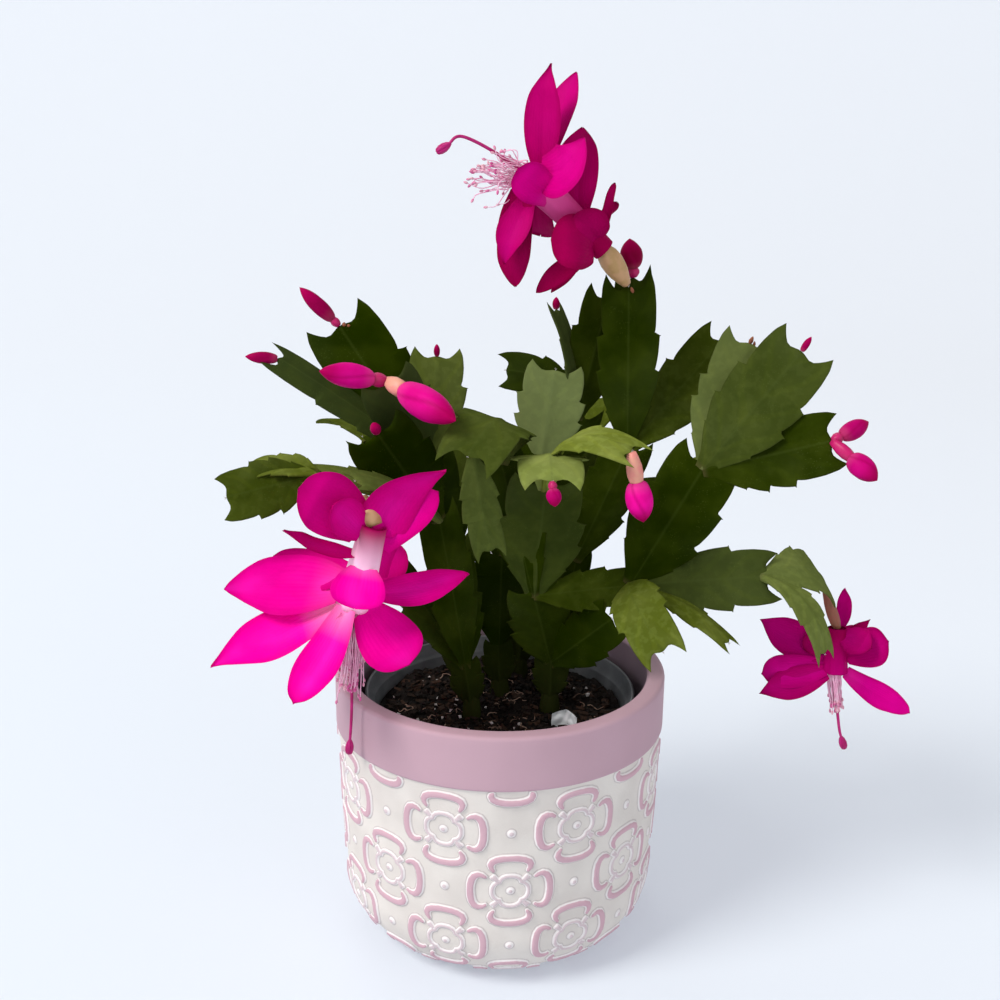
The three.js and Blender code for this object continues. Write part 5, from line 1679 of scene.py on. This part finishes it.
def bumps(x, y, pitch, place, height):
    """Smooth noise, from minus its height to plus its height."""
    return noise.noise(Vector((x * pitch, y * pitch, place))) * height


def soil_height(x, y):
    """Coarse and fine crumb over the soil's level."""
    crumb = abs(bumps(x, y, *SOIL_CRUMB))
    return SOIL_LEVEL + bumps(x, y, *SOIL_SWELLS) + bumps(x, y, *SOIL_LUMPS) + crumb - SOIL_DROP


def build_soil():
    """The uneven top of the soil, and its plain sides and underside in the pot."""
    form = Form()
    radii = SOIL_RADIUS * np.linspace(0, 1, SOIL_RINGS) ** 0.75
    turns = np.linspace(0, 2 * np.pi, SOIL_SIDES, endpoint=False)
    corners = np.zeros((SOIL_RINGS, SOIL_SIDES, 3))
    for i, radius in enumerate(radii):
        for j, turn in enumerate(turns):
            x = radius * math.cos(turn)
            y = radius * math.sin(turn)
            corners[i, j] = (x, y, soil_height(x, y))
    height = (corners[..., 2] - SOIL_LEVEL + 2) / 5
    form.add(corners, grid_faces(SOIL_RINGS, SOIL_SIDES, closed=True), height=height)
    below = [[SOIL_RADIUS, SOIL_LEVEL - 1], [SOIL_RADIUS - 0.6, SOIL_LEVEL - 5], [38, 12], [CLOSED, 11]]
    add_turned(form, below, 60, CENTRE, UPRIGHT, height=0.2)
    form.piece("soil_bed", FINISHES["soil"], ["soil"])


def add_chip(form, place, size, chance):
    """One rough chip: a squashed eight-cornered block with uneven corners."""
    corners = np.array([[x, y, z] for x in (-1, 1) for y in (-1, 1) for z in (-1, 1)], float)
    corners *= np.array(size) / 2
    corners += chance.normal(scale=CHIP_ROUGHNESS, size=(8, 3)) * np.array(size)
    spin = Matrix.Rotation(chance.uniform(0, FREE_TURN), 3, "Z")
    tilt = Matrix.Rotation(chance.uniform(*CHIP_TILTS), 3, "X")
    form.add(corners @ np.array(spin @ tilt).T + place, CHIP_FACES, height=chance.uniform(0, 1))


def free_spot(chance, margin=3):
    """A place on the soil that keeps clear of its edge."""
    while True:
        x, y = chance.uniform(-SOIL_RADIUS, SOIL_RADIUS, 2)
        if math.hypot(x, y) < SOIL_RADIUS - margin:
            return x, y


def add_root(form, chance):
    """One bare root that wanders over the soil, unless it leaves the pot too soon."""
    x, y = free_spot(chance, margin=8)
    turn = chance.uniform(0, FREE_TURN)
    reach = chance.uniform(*ROOT_REACHES)
    spots = []
    for step in np.linspace(0, 1, 6):
        turn += chance.uniform(*ROOT_TURNS)
        next_x = x + math.cos(turn) * reach * step * 0.6
        next_y = y + math.sin(turn) * reach * step * 0.6
        if math.hypot(next_x, next_y) > SOIL_RADIUS - 1:
            break
        spots.append([next_x, next_y, soil_height(next_x, next_y) + 0.35 + 0.5 * math.sin(3.1 * step)])
    if len(spots) >= 3:
        add_tube(form, smooth_curve(spots, ROOT_STEPS), ROOT_RADII, sides=5, height=chance.uniform(0, 1))


def build_crumbs():
    """What lies on the soil: bark chips, crumbs, pale specks and bare roots."""
    chance = seeded("crumbs")
    bark = Form()
    crumbs = Form()
    specks = Form()
    roots = Form()
    for _ in range(BARK_CHIPS):
        x, y = free_spot(chance)
        long = chance.uniform(*BARK_LENGTHS)
        size = (long, long * chance.uniform(*BARK_WIDTH_SHARES), chance.uniform(*BARK_HEIGHTS))
        add_chip(bark, [x, y, soil_height(x, y) + 0.3], size, chance)
    for _ in range(CRUMBS):
        x, y = free_spot(chance)
        size = chance.uniform(*CRUMB_SIZES) * np.ones(3)
        add_chip(crumbs, [x, y, soil_height(x, y) + 0.2], size, chance)
    for _ in range(PALE_SPECKS):
        x, y = free_spot(chance)
        size = chance.uniform(*SPECK_SIZES) * np.ones(3)
        add_chip(specks, [x, y, soil_height(x, y) + 0.5], size, chance)
    for _ in range(ROOTS):
        add_root(roots, chance)
    crumbs.piece("soil_crumbs", FINISHES["soil"], [], smooth=False)
    bark.piece("bark_chips", FINISHES["bark"], [], smooth=False)
    specks.piece("pale_specks", FINISHES["speck"], [], smooth=False)
    roots.piece("fine_roots", FINISHES["root"], [])


build_soil()
build_crumbs()


# Crumpled label

LABEL_PLACE = (25, -19)
LABEL_WIDTH = 10
LABEL_TOP = 96
LABEL_BOTTOM = 74
LABEL_FOLD = 3
LABEL_TURN = -0.35
LABEL_HALF_THICKNESS = 0.25
LABEL_COLUMNS = 22
LABEL_ROWS = 30
CREASES_PER_MM = 0.33
CREASE_PLACE = 0.4
CREASE_HEIGHT = 2.2


def build_label():
    """A folded strip, straight where it stands in the soil and crumpled above it."""
    across, up = np.meshgrid(np.linspace(-1, 1, LABEL_COLUMNS), np.linspace(0, 1, LABEL_ROWS), indexing="xy")
    x = across * LABEL_WIDTH / 2
    y = LABEL_FOLD * (1 - np.abs(across))
    z = LABEL_BOTTOM + up * (LABEL_TOP - LABEL_BOTTOM)
    crumple = np.zeros(x.shape)
    for i in range(LABEL_ROWS):
        for j in range(LABEL_COLUMNS):
            crumple[i, j] = abs(bumps(x[i, j], z[i, j], CREASES_PER_MM, CREASE_PLACE, CREASE_HEIGHT))
    loose = np.clip((z - SOIL_LEVEL + 4) / 6, 0, 1)
    y = y + crumple * loose - 0.4 * loose
    z = z - 1.3 * loose * np.abs(across) ** 2 - crumple * 0.5 * loose
    sine = math.sin(LABEL_TURN)
    cosine = math.cos(LABEL_TURN)
    form = Form()
    for layer in (LABEL_HALF_THICKNESS, -LABEL_HALF_THICKNESS):
        corners = np.stack([x * cosine - y * sine + LABEL_PLACE[0] - layer * sine,
                            x * sine + y * cosine + LABEL_PLACE[1] + layer * cosine, z], axis=-1)
        form.add(corners, grid_faces(LABEL_ROWS, LABEL_COLUMNS, flip=layer > 0))
    form.piece("crumpled_label", FINISHES["label"], ["label"])


build_label()


# Studio floor: a wide bowl, flat under the pot

FLOOR_RINGS = (0.01, 150, 300, 450, 600, 800, 1000, 1200, 1400)
FLOOR_RISE = (1200, 1000)
FLOOR_RISE_STEPS = 16
FLOOR_SIDES = 96
FLOOR_HEADROOM = 1.33


def key_light_received(corners, upward):
    """What each corner of the floor gets of the key light, as a share of no fixed unit."""
    towards = np.array(KEY_PLACE) - corners
    heading = unit(np.array(KEY_TARGET) - np.array(KEY_PLACE))
    distance = np.linalg.norm(towards, axis=-1)
    facing = np.clip((towards * upward).sum(-1) / distance, 0, 1)
    leaving = np.clip(-(towards @ heading) / distance, 0, 1)
    return facing * leaving / distance ** 2


def build_floor():
    """The bowl, lit more from within where the key light falls off."""
    profile = [[radius, 0] for radius in FLOOR_RINGS]
    for turn in np.linspace(0, np.pi / 2, FLOOR_RISE_STEPS)[1:]:
        profile.append([FLOOR_RINGS[-1] + FLOOR_RISE[0] * np.sin(turn), FLOOR_RISE[1] * (1 - np.cos(turn))])
    profile = np.array(profile)
    turns = np.linspace(0, 2 * np.pi, FLOOR_SIDES, endpoint=False)
    corners = np.stack([
        profile[:, :1] * np.cos(turns), profile[:, :1] * np.sin(turns), by_ring(profile[:, 1], FLOOR_SIDES),
    ], axis=-1) * MM
    slope = np.gradient(profile, axis=0)
    upward = unit(np.stack([
        -slope[:, 1:] * np.cos(turns), -slope[:, 1:] * np.sin(turns), by_ring(slope[:, 0], FLOOR_SIDES),
    ], axis=-1))
    received = key_light_received(corners, upward)
    dim = np.clip(1 - received / (received[0, 0] * FLOOR_HEADROOM), 0, 1)
    mesh = bpy.data.meshes.new("studio_floor")
    mesh.from_pydata(corners.reshape(-1, 3).tolist(), [],
                     grid_faces(len(profile), FLOOR_SIDES, closed=True).tolist())
    mesh.attributes.new("dim", "FLOAT", "POINT").data.foreach_set("value", dim.ravel().astype(np.float32))
    mesh.polygons.foreach_set("use_smooth", [True] * len(mesh.polygons))
    mesh.materials.append(FINISHES["floor"])
    floor = bpy.data.objects.new("studio_floor", mesh)
    bpy.context.scene.collection.objects.link(floor)


build_floor()
